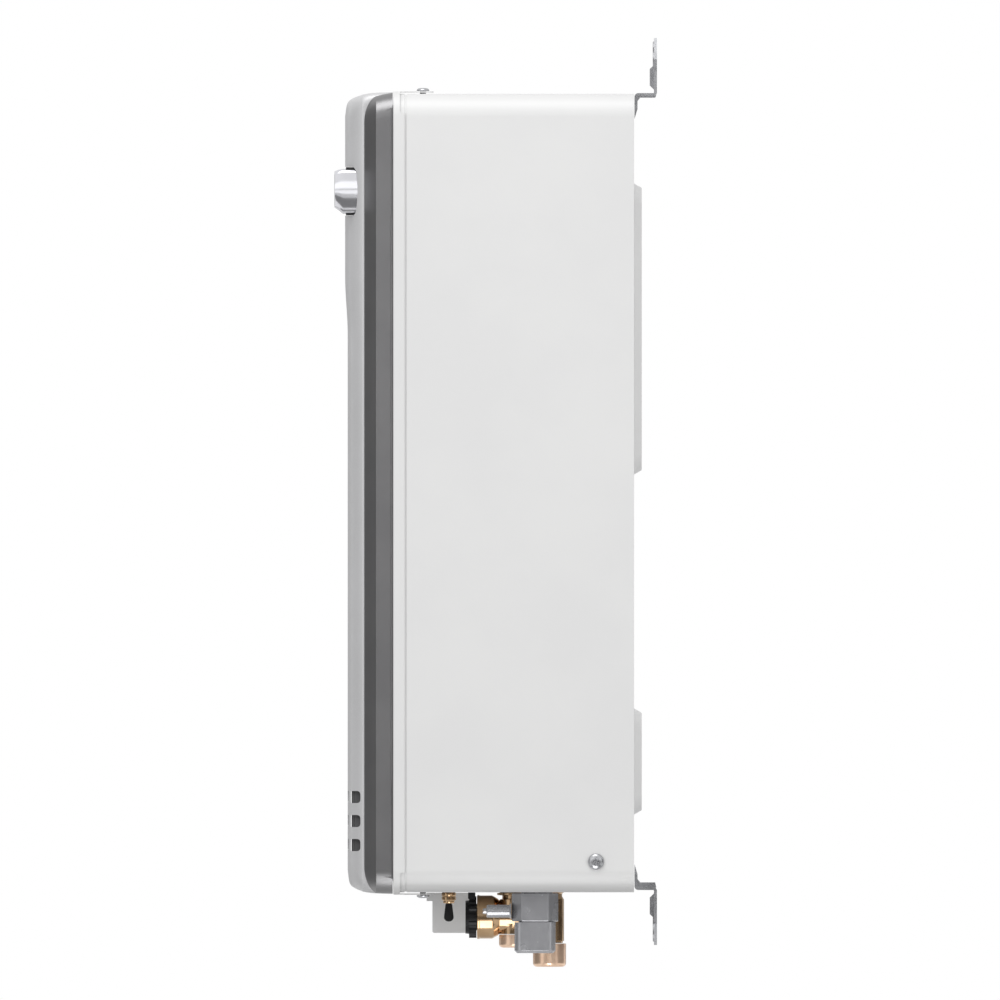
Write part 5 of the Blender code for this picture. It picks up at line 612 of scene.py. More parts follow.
# %% [markdown]
# ## Finishing a piece
# Cuts and joins are Boolean modifiers, and the fine round on each sharp edge is a Bevel modifier. Each is
# applied at once. A piece is then shaded smooth wherever its faces turn only a little, and its large faces
# set the shading normals, so that they stay flat. It takes its finish, and rides on the body that it moves
# with.

# %% Define the finishing steps
SMOOTH_ANGLE = math.radians(34)
EDGE_ANGLE = math.radians(38)


def modified(piece, kind, **settings):
    """Adds a modifier with its settings, and applies it."""
    modifier = piece.modifiers.new(kind.lower(), kind)
    for name, value in settings.items():
        setattr(modifier, name, value)
    hold(piece)
    bpy.ops.object.modifier_apply(modifier=modifier.name)
    return piece


def combine(piece, tools, operation):
    """Cuts tool pieces out of a piece, or joins them, and removes them."""
    for tool in tools:
        modified(piece, "BOOLEAN", operation=operation, solver="EXACT", object=tool)
        bpy.data.objects.remove(tool)
    return piece


def cut(piece, *tools):
    return combine(piece, tools, "DIFFERENCE")


def join(piece, *tools):
    return combine(piece, tools, "UNION")


def rounded(piece, width, segments=2):
    """Rounds the edges that turn sharply."""
    return modified(
        piece, "BEVEL", width=width, segments=segments, limit_method="ANGLE", angle_limit=EDGE_ANGLE,
        use_clamp_overlap=True, miter_outer="MITER_ARC",
    )


def dress(piece, finish, body, *nodes):
    """Shades a piece, and gives it its finish, its body and the nodes that it stands for, if any."""
    hold(piece)
    bpy.ops.object.shade_smooth_by_angle(angle=SMOOTH_ANGLE)
    modified(piece, "WEIGHTED_NORMAL", keep_sharp=True)
    piece.data.materials.clear()
    piece.data.materials.append(finishes[finish])
    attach(piece, body)
    if nodes:
        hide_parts(*nodes)
    print(piece.name, len(piece.data.polygons), "faces")


# %% [markdown]
# ## The case
# The case is a hoop of sheet steel with large rounded corners, and a flange turned in at its open front. A
# block gives the outside. Its front face is inset to leave the flange, the rest of it and the back are
# deleted, and Solidify gives the sheet its millimetre. Holes in the floor let the pipes and the cable in,
# and a shallow groove runs behind the cover's rim.

# %% Model the case
CASE_SIDE = 0.174
CASE_TOP, CASE_BOTTOM = -0.0125, -0.5415
CASE_BACK, CASE_FRONT = -0.0152, -0.1722
CASE_SHEET = 0.001
CASE_FLANGE = 0.008
CASE_CORNER = 0.015
CORNER_SEGMENTS = 16
GROOVE = (-0.1672, -0.1658)
GROOVE_DEPTH = 0.0005
OVERCUT = 0.003
GAS = (0.118, -0.0795)
COLD = (0.052, -0.0937)
HOT = (-0.038, -0.0712)
DRAIN = (-0.075, -0.1379)
CABLE = (-0.129, -0.135)

case = add_block(
    "case_sheet", (-CASE_SIDE, CASE_FRONT, CASE_BOTTOM), (CASE_SIDE, CASE_BACK, CASE_TOP),
    Y, CASE_CORNER, CORNER_SEGMENTS,
)
pick(case, "FACE", facing(Y, 1))
bpy.ops.mesh.delete(type="FACE")
pick(case, "FACE", facing(Y, -1))
bpy.ops.mesh.inset(thickness=CASE_SHEET + CASE_FLANGE)
bpy.ops.mesh.delete(type="FACE")
modified(case, "SOLIDIFY", thickness=CASE_SHEET, offset=-1, use_even_offset=True)
floor_span = (CASE_BOTTOM - OVERCUT, CASE_BOTTOM + CASE_SHEET + OVERCUT)
for centre, radius in ((GAS, 0.0111), (COLD, 0.0111), (HOT, 0.0102), (DRAIN, 0.0052), (CABLE, 0.0095)):
    cut(case, add_rod("Z", centre, radius, floor_span, 40))
groove_sizes = [
    (CASE_SIDE + out, (CASE_TOP - CASE_BOTTOM) / 2 + out, CASE_CORNER + out) for out in (0.001, -GROOVE_DEPTH)
]
cut(case, add_band("groove", outline, *groove_sizes, *GROOVE))
dress(rounded(case, 0.0003), "case_paint", "heater", "case_wrap")

# %% [markdown]
# ## The back plate
# The back is flat sheet, pressed outwards in two broad pads that stiffen it. Each pad starts as a block
# whose outer face is made a little smaller, which gives the slope of a pressing. A smaller copy cuts the
# hollow behind it.

# %% Model the back plate
GAP = 0.0003
PAD_HEIGHT = 0.0051
PAD_HALF = 0.118
PAD_CORNER = 0.012
PAD_SLOPE = 0.0032
PADS = ((-0.2650, -0.0716), (-0.4903, -0.4194))


def add_pad(inset, rear, front, low, high):
    """A low block with rounded corners whose outer face is smaller."""
    half_width, half_height = PAD_HALF - inset, (high - low) / 2 - inset
    pad = add_block(
        "pad", (-half_width, front, low + inset), (half_width, rear, high - inset), Y, PAD_CORNER - inset, 8
    )
    share = ((half_width - PAD_SLOPE) / half_width, 1, (half_height - PAD_SLOPE) / half_height)
    resize(pad, "FACE", facing(Y, 1), share, (0, rear, (low + high) / 2))
    return pad


BACK_INSET = CASE_SHEET + GAP
back_half = CASE_SIDE - BACK_INSET
back = add_block(
    "back_sheet", (-back_half, CASE_BACK - CASE_SHEET, CASE_BOTTOM + BACK_INSET),
    (back_half, CASE_BACK, CASE_TOP - BACK_INSET), Y, CASE_CORNER - BACK_INSET, CORNER_SEGMENTS,
)
for low, high in PADS:
    join(back, add_pad(0.0, CASE_BACK + PAD_HEIGHT, CASE_BACK - CASE_SHEET / 2, low, high))
    hollow_rear = CASE_BACK + PAD_HEIGHT - CASE_SHEET
    cut(back, add_pad(CASE_SHEET, hollow_rear, CASE_BACK - CASE_SHEET - 0.002, low, high))
dress(rounded(back, 0.0006, 3), "case_paint", "heater", "back_plate")

# %% [markdown]
# ## The wall brackets
# A bracket is one strip of zinc-plated sheet, bent into a Z: a leg on the case, a shelf, and a leg on the
# wall. One edge is extruded along that path, its corners are bevelled into bends, bisect takes off the
# outer corners, and Solidify gives it two millimetres. The tip on the case is drawn to a point. Lips
# stiffen the wall leg and webs stiffen the shelf. The keyhole and its raised rim come last.

# %% Model the brackets
BRACKET_SHEET = 0.002
BRACKET_HALF = 0.088
BRACKET_WALL_LEG, BRACKET_CASE_LEG = 0.0364, 0.0172
BRACKET_CORNER = 0.014
BRACKET_ENDS = (-0.012, -0.540)
BRACKET_FACE = CASE_BACK + GAP + BRACKET_SHEET
BEND = 0.0015
TIP_SLOPE = 0.0066
LIP, LIP_LENGTH, LIP_TAPER, LIP_START = 0.0048, 0.0185, 0.0038, 0.0012
WEB_THICKNESS, WEB_MARGIN, WEB_BEND = 0.0016, 0.004, 0.0022
MOUTH_RADIUS, SLOT_RADIUS = 0.0055, 0.0035
SLOT_LENGTH, SLOT_MARGIN = 0.0075, 0.0042
RIM_FRONT_Y, RIM_WIDTH = 0.0028, 0.0022
FIXING_RADIUS, FIXING_SPREAD = 0.0033, 0.06


def add_web(side, end, way, depth):
    """A web at one end of the shelf: low along it, and higher in both bends."""
    shelf = end - way * BRACKET_SHEET
    root, high, low = shelf + way * 0.0005, shelf - way * (depth + WEB_BEND), shelf - way * depth
    section = [
        (BRACKET_FACE - 0.001, root), (BRACKET_FACE - 0.001, high), (BRACKET_FACE, high),
        (BRACKET_FACE + 0.0018, low), (-0.0012, low), (-0.0004, root),
    ]
    reach = BRACKET_HALF - WEB_MARGIN
    ends = sorted((side * reach, side * (reach - WEB_THICKNESS)))
    return add_loft("web", [[(x, y, z) for y, z in section] for x in ends])


def add_bracket(name, end, way, web_depth):
    """A bracket over the case's end, whose wall leg goes up (way 1) or down (way -1)."""
    case_y = CASE_BACK + GAP + BRACKET_SHEET / 2
    wall_y = -BRACKET_SHEET / 2
    shelf = end - way * BRACKET_SHEET / 2
    tip = end + way * BRACKET_WALL_LEG
    path = [(case_y, end - way * BRACKET_CASE_LEG), (case_y, shelf), (wall_y, shelf), (wall_y, tip)]
    let_go()
    bpy.ops.mesh.primitive_plane_add(size=1, location=(0, 0, 0))
    piece = bpy.context.object
    piece.scale = (BRACKET_HALF * 2, 1, 1)
    named(piece, name)
    pick(piece, "VERT", lambda middle, way: middle.y > 0)
    bpy.ops.mesh.delete(type="VERT")
    everything(piece)
    bpy.ops.transform.translate(value=(0, path[0][0] + 0.5, path[0][1]))
    for (y, z), (next_y, next_z) in zip(path, path[1:]):
        bpy.ops.mesh.extrude_region_move(TRANSFORM_OT_translate={"value": (0, next_y - y, next_z - z)})
    round_edges(piece, lambda middle, way: any(
        abs(middle.y - y) < 1e-6 and abs(middle.z - z) < 1e-6 for y, z in path[1:3]
    ), BEND, 5)
    for side in (-1, 1):
        for level, size, heading in ((tip, BRACKET_CORNER, way), (path[0][1], BRACKET_CORNER / 2, -way)):
            slice_at(piece, (side * (BRACKET_HALF - size), 0, level), (side, 0, heading), clear_outer=True)
    modified(piece, "SOLIDIFY", thickness=BRACKET_SHEET, offset=0)
    tidy_mesh(piece)
    pick(piece, "VERT", lambda middle, way: middle.y < wall_y - 0.005 and middle.y > case_y
         and abs(middle.z - path[0][1]) < 0.0001)
    bpy.ops.transform.translate(value=(0, 0, way * TIP_SLOPE))
    join(piece, *(add_web(side, end, way, web_depth) for side in (-1, 1)))
    low = end + way * LIP_START
    high = low + way * LIP_LENGTH
    taper = (1, 1, 1 - 2 * LIP_TAPER / LIP_LENGTH)
    for side in (-1, 1):
        x = side * (BRACKET_HALF - BRACKET_CORNER)
        lip = add_box("lip", (x, -LIP, low), (x - side * BRACKET_SHEET, wall_y, high))
        resize(lip, "VERT", lambda middle, way: middle.y < -LIP + TINY, taper, (x, -LIP, (low + high) / 2))
        join(piece, lip)
    slot_end = end + way * (BRACKET_WALL_LEG - SLOT_MARGIN - SLOT_RADIUS)
    mouth = slot_end - way * SLOT_LENGTH
    through = (-BRACKET_SHEET - 0.004, 0.002)
    for z, radius in ((mouth, MOUTH_RADIUS + RIM_WIDTH), (slot_end, SLOT_RADIUS + RIM_WIDTH)):
        rim = [(radius - 0.0005, -RIM_FRONT_Y), (radius, -RIM_FRONT_Y + 0.0006), (radius, wall_y)]
        join(piece, add_turned("rim", "Y", (0, z), rim))
    places = [(0, slot_end, SLOT_RADIUS), (0, mouth, MOUTH_RADIUS)]
    places += [(side * FIXING_SPREAD, mouth, FIXING_RADIUS) for side in (-1, 1)]
    for x, z, radius in places:
        cut(piece, add_rod("Y", (x, z), radius, through, 32))
    cut(piece, add_box("slot", (-SLOT_RADIUS, through[0], slot_end), (SLOT_RADIUS, through[1], mouth)))
    return rounded(piece, 0.00025)


dress(add_bracket("bracket_above", BRACKET_ENDS[0], 1, 0.0011), "zinc_steel", "heater", "upper_bracket")
dress(add_bracket("bracket_below", BRACKET_ENDS[1], -1, 0.0031), "zinc_steel", "heater", "lower_bracket")

# %% [markdown]
# ## The screws
# Six pan-head screws hold the cover and the case. The head is turned, and two crossed bars with tapered
# ends cut the recess for the driver. Each screw is turned on its own seat, because its place has to be in
# its mesh.

# %% Model the screws
HEAD_PROFILE = ((1.0, 0.0), (1.0, 0.18), (0.97, 0.42), (0.88, 0.66), (0.72, 0.85), (0.5, 0.96), (0.2, 1.0))
SHANK, SHANK_LENGTH = 0.002, 0.009
CROSS_LENGTH, CROSS_WIDTH, CROSS_DEPTH = 0.60, 0.13, 0.3
HANDS = ((-1, "left"), (1, "right"))
SIDE_SCREW = (-0.0404, -0.5211)
TAB_SPREAD = 0.08
TAB_SCREW_Y = -0.155
TAB_SEAT = 0.2664


def add_screw(name, turn, seat, radius, height):
    """A screw whose head stands on its seat. It is made upright, and then turned."""
    profile = [(SHANK, -SHANK_LENGTH), (SHANK, 0)] + [(r * radius, h * height) for r, h in HEAD_PROFILE]
    screw = add_turned(name, "Z", (0, 0), profile, 40)
    length, width, depth = radius * CROSS_LENGTH, radius * CROSS_WIDTH, height * CROSS_DEPTH
    for heading in (0, math.pi / 2):
        bar = add_box("bar", (-length, -width, depth), (length, width, height * 2))
        resize(bar, "FACE", facing(Z, -1), (0.45, 0.7, 1), (0, 0, depth))
        let_go()
        bar.rotation_euler = (0, 0, heading)
        cut(screw, named(bar, "bar"))
    screw.rotation_euler = turn
    screw.location = seat
    return rounded(named(screw, name), 0.00012)


for side, hand in HANDS:
    seat = (side * 0.1743, *SIDE_SCREW)
    screw = add_screw("case_screw_" + hand, (0, side * math.pi / 2, 0), seat, 0.0053, 0.0028)
    dress(screw, "zinc_steel", "heater", "side_screw_" + hand)
for way, level in ((-1, "bottom"), (1, "top")):
    for side, hand in HANDS:
        seat = (side * TAB_SPREAD, TAB_SCREW_Y, COVER_MIDDLE + way * TAB_SEAT)
        place = level + "_" + hand
        screw = add_screw("tab_screw_" + place, (math.pi if way < 0 else 0, 0, 0), seat, 0.0042, 0.002)
        dress(screw, "zinc_steel", "heater", "cover_screw_" + place)

# %% [markdown]
# ## The front cover
# Behind the mouldings is a drawn steel pan. Its rim laps the case, and that rim is all that shows from the
# side. It is a shell: one outline after another from the raised middle to the rim, and back inside, a
# sheet's thickness in. Four tabs take its screws, and a notch in each corner of the rim clears the case's
# round.

# %% Model the cover
COVER_HALF = (0.1751, 0.2661)
COVER_SHEET = 0.0008
COVER_CORNER = 0.0161
RIM_REAR, RIM_FRONT = -0.1670, -0.1748
PAN_FRONT = -0.1839
PAN_HALF, PAN_CORNER = (0.1584, 0.2571), 0.006
TAB_HALF, TAB_REAR, TAB_CORNER = 0.011, -0.148, 0.004
TAB_SLOT = 0.0024
NOTCH_DEPTH, NOTCH_LENGTH = 0.0033, 0.0145


def rim_row(inset, y, back=0.0):
    """The cover's outline, a little smaller, at a depth."""
    return (COVER_HALF[0] - inset, COVER_HALF[1] - inset, COVER_CORNER - inset, y, back, COVER_MIDDLE)


edge_rows = [
    rim_row(inset, RIM_REAR - depth)
    for inset, depth in ((0.0006, 0), (0.0003, 0.0004), (0.0001, 0.0009), (0, 0.0016))
]
front_rows = [rim_row(0, RIM_FRONT + 0.0006, COVER_SHEET), rim_row(0.0006, RIM_FRONT, COVER_SHEET)]
front_rows += [(*PAN_HALF, PAN_CORNER, y, COVER_SHEET, COVER_MIDDLE) for y in (RIM_FRONT, PAN_FRONT)]
cover = add_shell("cover_pan", edge_rows + front_rows, [rim_row(0, RIM_REAR)] + front_rows, COVER_SHEET)
for way in (-1, 1):
    for side in (-1, 1):
        x, z = side * TAB_SPREAD, COVER_MIDDLE + way * COVER_HALF[1]
        far = (x + TAB_HALF, TAB_REAR, z - way * COVER_SHEET)
        tab = add_box("tab", (x - TAB_HALF, RIM_REAR - 0.0026, z), far)
        at_rear = lambda middle, way: abs(way.z) > STRAIGHT and middle.y > TAB_REAR - 0.001
        join(cover, round_edges(tab, at_rear, TAB_CORNER, 6))
        slot_low = (x - TAB_SLOT, TAB_SCREW_Y - TAB_SLOT, z - 0.004)
        cut(cover, add_box("slot", slot_low, (x + TAB_SLOT, -0.14, z + 0.004)))
for side in (-1, 1):
    for way in (-1, 1):
        near, far = (
            (side * (COVER_HALF[0] + out), y, COVER_MIDDLE + way * (COVER_HALF[1] + out))
            for out, y in ((-NOTCH_LENGTH, RIM_REAR - NOTCH_DEPTH), (OVERCUT, RIM_REAR + OVERCUT))
        )
        in_rim = lambda middle, way: middle.y < RIM_REAR and abs(way.y) < 0.1
        cut(cover, round_edges(add_box("notch", near, far), in_rim, 0.0016, 5))

# %% [markdown]
# ## The exhaust outlet and the intake slots
# The panel and the pan behind it share openings: one long outlet near the top, and rows of intake slots in
# both lower corners. The outlet's ends bulge a little, which is what lays bands of light and dark on the
# bright frame.

# %% Define the openings and cut the pan
OUTLET_Z = -0.0771
OUTLET_HALF = (0.1576, 0.0149)
OUTLET_CORNER = 0.003
OUTLET_BULGE = 0.0021
OUTLET_GAP = 0.0013
OUTLET_WALL = 0.0022
OUTLET_STEPS = 6
END_STEPS = 10
VENT_COLUMNS = (0.097, 0.127)
VENT_HALF = 0.012
VENT_LEVELS = (-0.5102, -0.4943, -0.4784)
VENT_HALF_HEIGHT = 0.004


def bulged(half_width, half_height, radius, y, lift=0.0, inset=0.0):
    """The outlet's outline. Its ends bulge, and its upper edge can be lowered and its lower edge raised."""
    ring = outline(half_width, half_height, radius, y, OUTLET_STEPS, OUTLET_Z)
    straight = half_height - radius
    ladder = [straight * (2 * step / END_STEPS - 1) for step in range(1, END_STEPS)]
    left = [(-half_width, y, OUTLET_Z - rung) for rung in ladder]
    right = [(half_width, y, OUTLET_Z + rung) for rung in ladder]
    points = []
    for x, _, z in ring[:len(ring) // 2] + left + ring[len(ring) // 2:] + right:
        up = (z - OUTLET_Z) / half_height
        edge = half_width - radius
        if abs(x) > edge - 1e-6:
            x -= math.copysign(OUTLET_BULGE * up * up, x)
        points.append((x, y, z - lift * max(up, 0.0) - inset * min(up, 0.0)))
    return points


duct = (OUTLET_HALF[0] - OUTLET_WALL - OUTLET_BULGE, OUTLET_HALF[1] - OUTLET_WALL, OUTLET_CORNER)
pan_span = (PAN_FRONT - 0.003, PAN_FRONT + 0.004)
cut(cover, add_loft("duct_cut", [outline(*duct, y, OUTLET_STEPS, OUTLET_Z) for y in pan_span]))
for side in (-1, 1):
    near = (side * (VENT_COLUMNS[0] - VENT_HALF), pan_span[0], VENT_LEVELS[0] - VENT_HALF_HEIGHT)
    far = (side * (VENT_COLUMNS[1] + VENT_HALF), pan_span[1], VENT_LEVELS[-1] + VENT_HALF_HEIGHT)
    cut(cover, add_box("window", near, far))
dress(rounded(cover, 0.0002), "case_paint", "cover", "front_cover")

# %% [markdown]
# ## The front panel
# The silver panel is a moulding whose edges roll back in a long curve at the sides and a shorter one at the
# ends. Measured rows of its section are joined by a smooth curve, each row becomes an outline, and the loft
# runs through them all. Its upper part stands a little proud, so bisect adds rows of points there, which
# are then moved forward.

# %% Define the panel's section
PANEL_HALF = 0.161
PANEL_REAR = -0.1751
PANEL_DEPTH = 0.0298
PANEL_FRONT = PANEL_REAR - PANEL_DEPTH
PANEL_WALL = 0.002
PANEL_INSET = 0.0005
ROLL_SIDE, ROLL_END, ROLL_CORNER = 0.031, 0.016, 0.016
BROW_START, BROW_FADE, BROW_HEIGHT = -0.172, 0.038, 0.0017
BROW_ROWS = 14
SECTION = [
    (0.0, 0.0, 0.0, 0.3), (0.42, 0.0, 0.03, 0.35), (0.632, 0.0, 0.085, 0.45), (0.694, 0.026, 0.125, 0.55),
    (0.764, 0.097, 0.175, 0.65), (0.847, 0.226, 0.25, 0.75), (0.924, 0.42, 0.36, 0.85),
    (0.969, 0.68, 0.55, 0.95), (1.0, 1.0, 1.0, 1.0),
]


def smooth_rows(rows, steps):
    """Adds rows on a smooth curve through the given ones."""
    result = []
    for index in range(len(rows) - 1):
        near = [rows[min(max(index + shift, 0), len(rows) - 1)] for shift in (-1, 0, 1, 2)]
        for step in range(steps):
            t = step / steps
            weights = (
                (-t + 2 * t**2 - t**3) / 2, (2 - 5 * t**2 + 3 * t**3) / 2,
                (t + 4 * t**2 - 3 * t**3) / 2, (-t**2 + t**3) / 2,
            )
            result.append(tuple(sum(w * value for w, value in zip(weights, values)) for values in zip(*near)))
    return result + [rows[-1]]


def panel_outlines(wall, steps):
    return [
        outline(
            PANEL_HALF - wall - side * ROLL_SIDE, COVER_HALF[1] - PANEL_INSET - wall - end * ROLL_END,
            ROLL_CORNER * share - wall, PANEL_REAR - depth * (PANEL_DEPTH - wall),
        )
        for depth, side, end, share in smooth_rows(SECTION, steps)
    ]


# %% Model the panel and raise its upper part
panel = add_loft("panel_moulding", panel_outlines(0.0, 4)[::-1] + panel_outlines(PANEL_WALL, 1))
for step in range(BROW_ROWS + 1):
    slice_at(panel, (0, 0, BROW_START + BROW_FADE * step / BROW_ROWS), (0, 0, 1))
let_go()
flank = PANEL_REAR - PANEL_DEPTH * SECTION[2][0]
for point in panel.data.vertices:
    rise = min(max((point.co.z - BROW_START) / BROW_FADE, 0.0), 1.0)
    out = min(max((flank - point.co.y) / (flank - PANEL_REAR + PANEL_DEPTH), 0.0), 1.0)
    point.co.y -= BROW_HEIGHT * out * rise * rise * (3 - 2 * rise)
print("panel:", len(panel.data.vertices), "points")

# %% [markdown]
# ## The openings in the panel
# The intake slots have rounded ends: each is a block that cuts through the panel. At each side they run on
# round the roll, where the wall behind them is cut thinner. A dark baffle, flat and with a raised field,
# shows
# through them: it closes the view into the case, and its dark grey is painted shade for the inside of the
# intake.

# %% Cut the openings and add the dark baffles of painted shade
VENT_ROUND = 0.0022
opening = (OUTLET_HALF[0] + 0.0005, OUTLET_HALF[1] + OUTLET_GAP, OUTLET_CORNER)
through = (PANEL_FRONT - 0.0071, PAN_FRONT + OVERCUT)
cut(panel, add_loft("outlet_cut", [bulged(*opening, y) for y in through]))
for z in VENT_LEVELS:
    low, high = z - VENT_HALF_HEIGHT, z + VENT_HALF_HEIGHT
    for side in (-1, 1):
        for column in VENT_COLUMNS:
            near = (side * column - VENT_HALF, PANEL_FRONT - 0.0041, low)
            far = (side * column + VENT_HALF, PAN_FRONT - 0.003, high)
            cut(panel, add_block("slot", near, far, Y, VENT_ROUND, 6))
        near = (side * (PANEL_HALF - 0.0165), PANEL_FRONT + 0.0009, low)
        far = (side * (PANEL_HALF + OVERCUT), PANEL_FRONT + 0.0084, high)
        cut(panel, add_block("slot", near, far, X, VENT_ROUND, 6))
        near = (side * (PANEL_HALF - 0.031), PANEL_FRONT + 0.0021, low)
        far = (side * (PANEL_HALF - 0.0162), PANEL_FRONT + 0.0084, high)
        cut(panel, add_box("thin", near, far))
dress(rounded(panel, 0.0003), "panel_silver", "cover", "front_panel")

for side, hand in HANDS:
    near = (side * (PANEL_HALF - 0.0205), PANEL_FRONT + 0.0026, VENT_LEVELS[0] - 0.010)
    far = (side * (PANEL_HALF - 0.0220), PAN_FRONT - GAP, VENT_LEVELS[-1] + 0.010)
    # The baffle closes the view into the case; its dark grey is painted shade for the inside of the intake.
    baffle = add_box("intake_shade_baffle_" + hand, near, far)
    pick(baffle, "FACE", facing(X, side))
    bpy.ops.mesh.inset(thickness=0.002)
    bpy.ops.mesh.extrude_region_move(TRANSFORM_OT_translate={"value": (side * 0.0006, 0, 0)})
    dress(rounded(baffle, 0.0003), "trim_grey", "cover")

# %% [markdown]
# ## The side trims
# A dark trim closes each side of the front: a band in line with the case, then a slant inwards to the
# panel. Each is cut from a frame-shaped shell by a bisect that keeps the outer part. A step along the rear
# edge leaves a dark line beside the cover, a little wider between the ends.

# %% Model the trims
TRIM_HALF = (0.1746, 0.2656)
TRIM_WALL = 0.0018
TRIM_REAR, TRIM_BEND, TRIM_FRONT = -0.1751, -0.1861, -0.1940
TRIM_SEAM = 0.1613
WAIST, WAIST_DEPTH = (-0.0930, -0.4680), 0.0004
REBATE = 0.0011
trim_rows = [
    (width, TRIM_HALF[1] - lower, COVER_CORNER, y, back, COVER_MIDDLE - drop)
    for width, lower, y, back, drop in (
        (TRIM_HALF[0], 0, TRIM_REAR, 0.0, 0),
        (TRIM_HALF[0], 0.0007, TRIM_BEND + 0.004, TRIM_WALL / 3, 0.0006),
        (TRIM_HALF[0], 0.0013, TRIM_BEND, TRIM_WALL / 2, 0.0011),
        (TRIM_SEAM, 0.0028, TRIM_FRONT, TRIM_WALL, 0.0008),
    )
]
for side, hand in HANDS:
    strip = add_shell("trim_" + hand, trim_rows, trim_rows, TRIM_WALL)
    slice_at(strip, (side * TRIM_SEAM, 0, 0), (side, 0, 0), clear_inner=True, use_fill=True)
    tidy_mesh(strip)
    low, high = side * (TRIM_HALF[0] - REBATE), side * (TRIM_HALF[0] + OVERCUT)
    rebate = add_box("rebate", (low, TRIM_REAR - REBATE, -0.6), (high, TRIM_REAR + OVERCUT, 0.03))
    waist = add_box("waist", (low, TRIM_REAR - REBATE - WAIST_DEPTH, WAIST[1]), (high, TRIM_REAR, WAIST[0]))
    cut(strip, rebate, waist)
    dress(rounded(strip, 0.0004, 3), "trim_grey", "cover", "side_trim_" + hand)

# %% [markdown]
# ## The exhaust outlet's frame, seal and grille
# The frame is a bright band that stands out of the panel, with its lower front edge drawn in. A near-black
# foam seal fills the gap round it: partly a seal, and partly painted shade for the shadow in that gap. The
# grille behind it is a thin border with upright vanes: one vane that an Array modifier repeats.

# %% Model the outlet
OUTLET_FRONT = -0.2137
OUTLET_REAR = PAN_FRONT - GAP
LIP_DEPTH, LIP_INSET, LIP_LIFT = 0.0057, 0.0043, 0.0016
SEAL_FRONT, SEAL_END = PANEL_FRONT - 0.0012, 0.0035
GRILLE_FRONT, GRILLE_DEPTH = -0.2015, 0.005
GRILLE_REAR = GRILLE_FRONT + GRILLE_DEPTH
VANES = 17
VANE_HALF, VANE_MARGIN = 0.0008, 0.001

width, height = OUTLET_HALF
inner_size = (width - OUTLET_WALL, height - OUTLET_WALL)
lip = OUTLET_FRONT + LIP_DEPTH
outlet_rings = [
    bulged(*size, OUTLET_CORNER, y, lift, inset)
    for size, y, lift, inset in (
        (OUTLET_HALF, OUTLET_REAR, 0.0, 0.0),
        (OUTLET_HALF, lip, 0.0, 0.0),
        (OUTLET_HALF, OUTLET_FRONT + 0.0028, LIP_LIFT * 0.3, LIP_INSET * 0.55),
        ((width - 0.0010, height), OUTLET_FRONT, LIP_LIFT, LIP_INSET),
        (inner_size, OUTLET_FRONT, 0.0, LIP_INSET - OUTLET_WALL / 2),
        (inner_size, lip, 0.0, 0.0),
        (inner_size, OUTLET_REAR, 0.0, 0.0),
    )
]
surround = rounded(add_loft("outlet_surround", outlet_rings, closed=True), 0.0007, 4)
dress(surround, "satin_chrome", "cover", "outlet_frame")

seal_outer = (width + 0.0004, height + OUTLET_GAP - 0.0002, OUTLET_CORNER)
seal_inner = (width + 0.0001, height + 0.0002, OUTLET_CORNER)
# The seal's near-black foam is painted shade: it stands for the shadow in the gap round the frame.
seal = add_band("outlet_shade_seal", bulged, seal_outer, seal_inner, OUTLET_REAR, SEAL_FRONT)
for side in (-1, 1):
    slice_at(seal, (side * (width - SEAL_END), 0, 0), (side, 0, 0), clear_outer=True, use_fill=True)
dress(tidy_mesh(seal), "foam", "cover")

border = (inner_size[0] - GAP, inner_size[1] - GAP)
grille_inner = (border[0] - 0.002, border[1] - 0.002, 0.001)
grille = add_band("outlet_vanes", bulged, (*border, OUTLET_CORNER), grille_inner, GRILLE_FRONT, GRILLE_REAR)
pitch = 2 * border[0] / (VANES + 1)
start = -pitch * (VANES - 1) / 2
vane = add_block(
    "vane", (start - VANE_HALF, GRILLE_FRONT + GAP, OUTLET_Z - border[1] + VANE_MARGIN),
    (start + VANE_HALF, GRILLE_REAR - GAP, OUTLET_Z + border[1] - VANE_MARGIN), Z, 0.0006, 3,
)
modified(
    vane, "ARRAY", count=VANES, use_relative_offset=False, use_constant_offset=True,
    constant_offset_displace=(pitch, 0, 0),
)
dress(join(grille, vane), "black_plastic", "cover", "outlet_grille")

# %% [markdown]
# ## The gas inlet
# The gas pipe screws on a grey casting: a hexagon for the spanner, and below it a squarish collar with
# rounded corners. On its front is a pressure test point, a plain nipple shut by a screw.

# %% Model the gas inlet
INNER_FLOOR = CASE_BOTTOM + CASE_SHEET
FLANGE = (INNER_FLOOR + GAP, INNER_FLOOR + GAP + 0.004)
FLANGE_RADIUS = 0.0195
COLUMN_RADIUS = 0.0105
VALVE_BOTTOM = -0.4503
GAS_LOW, GAS_HEX_LOW = -0.5818, -0.5609
GAS_COLLAR, GAS_NECK, GAS_BORE = 0.0136, 0.0122, 0.009
GAS_SHIFT = 0.0013
HEX_RADIUS = 0.0138 / math.cos(math.pi / 6)
HEX_FACE, HEX_REACH = 0.0090, 0.01555
gas_column = [
    (COLUMN_RADIUS, GAS_HEX_LOW + 0.002), (COLUMN_RADIUS, FLANGE[0]), (FLANGE_RADIUS, FLANGE[0]),
    (FLANGE_RADIUS, FLANGE[1]), (COLUMN_RADIUS, FLANGE[1]), (COLUMN_RADIUS, VALVE_BOTTOM - GAP),
]
gas = add_turned("gas_inlet", "Z", GAS, gas_column)
hexagon = add_rod("Z", GAS, HEX_RADIUS, (GAS_HEX_LOW, CASE_BOTTOM - 0.0006), 6)
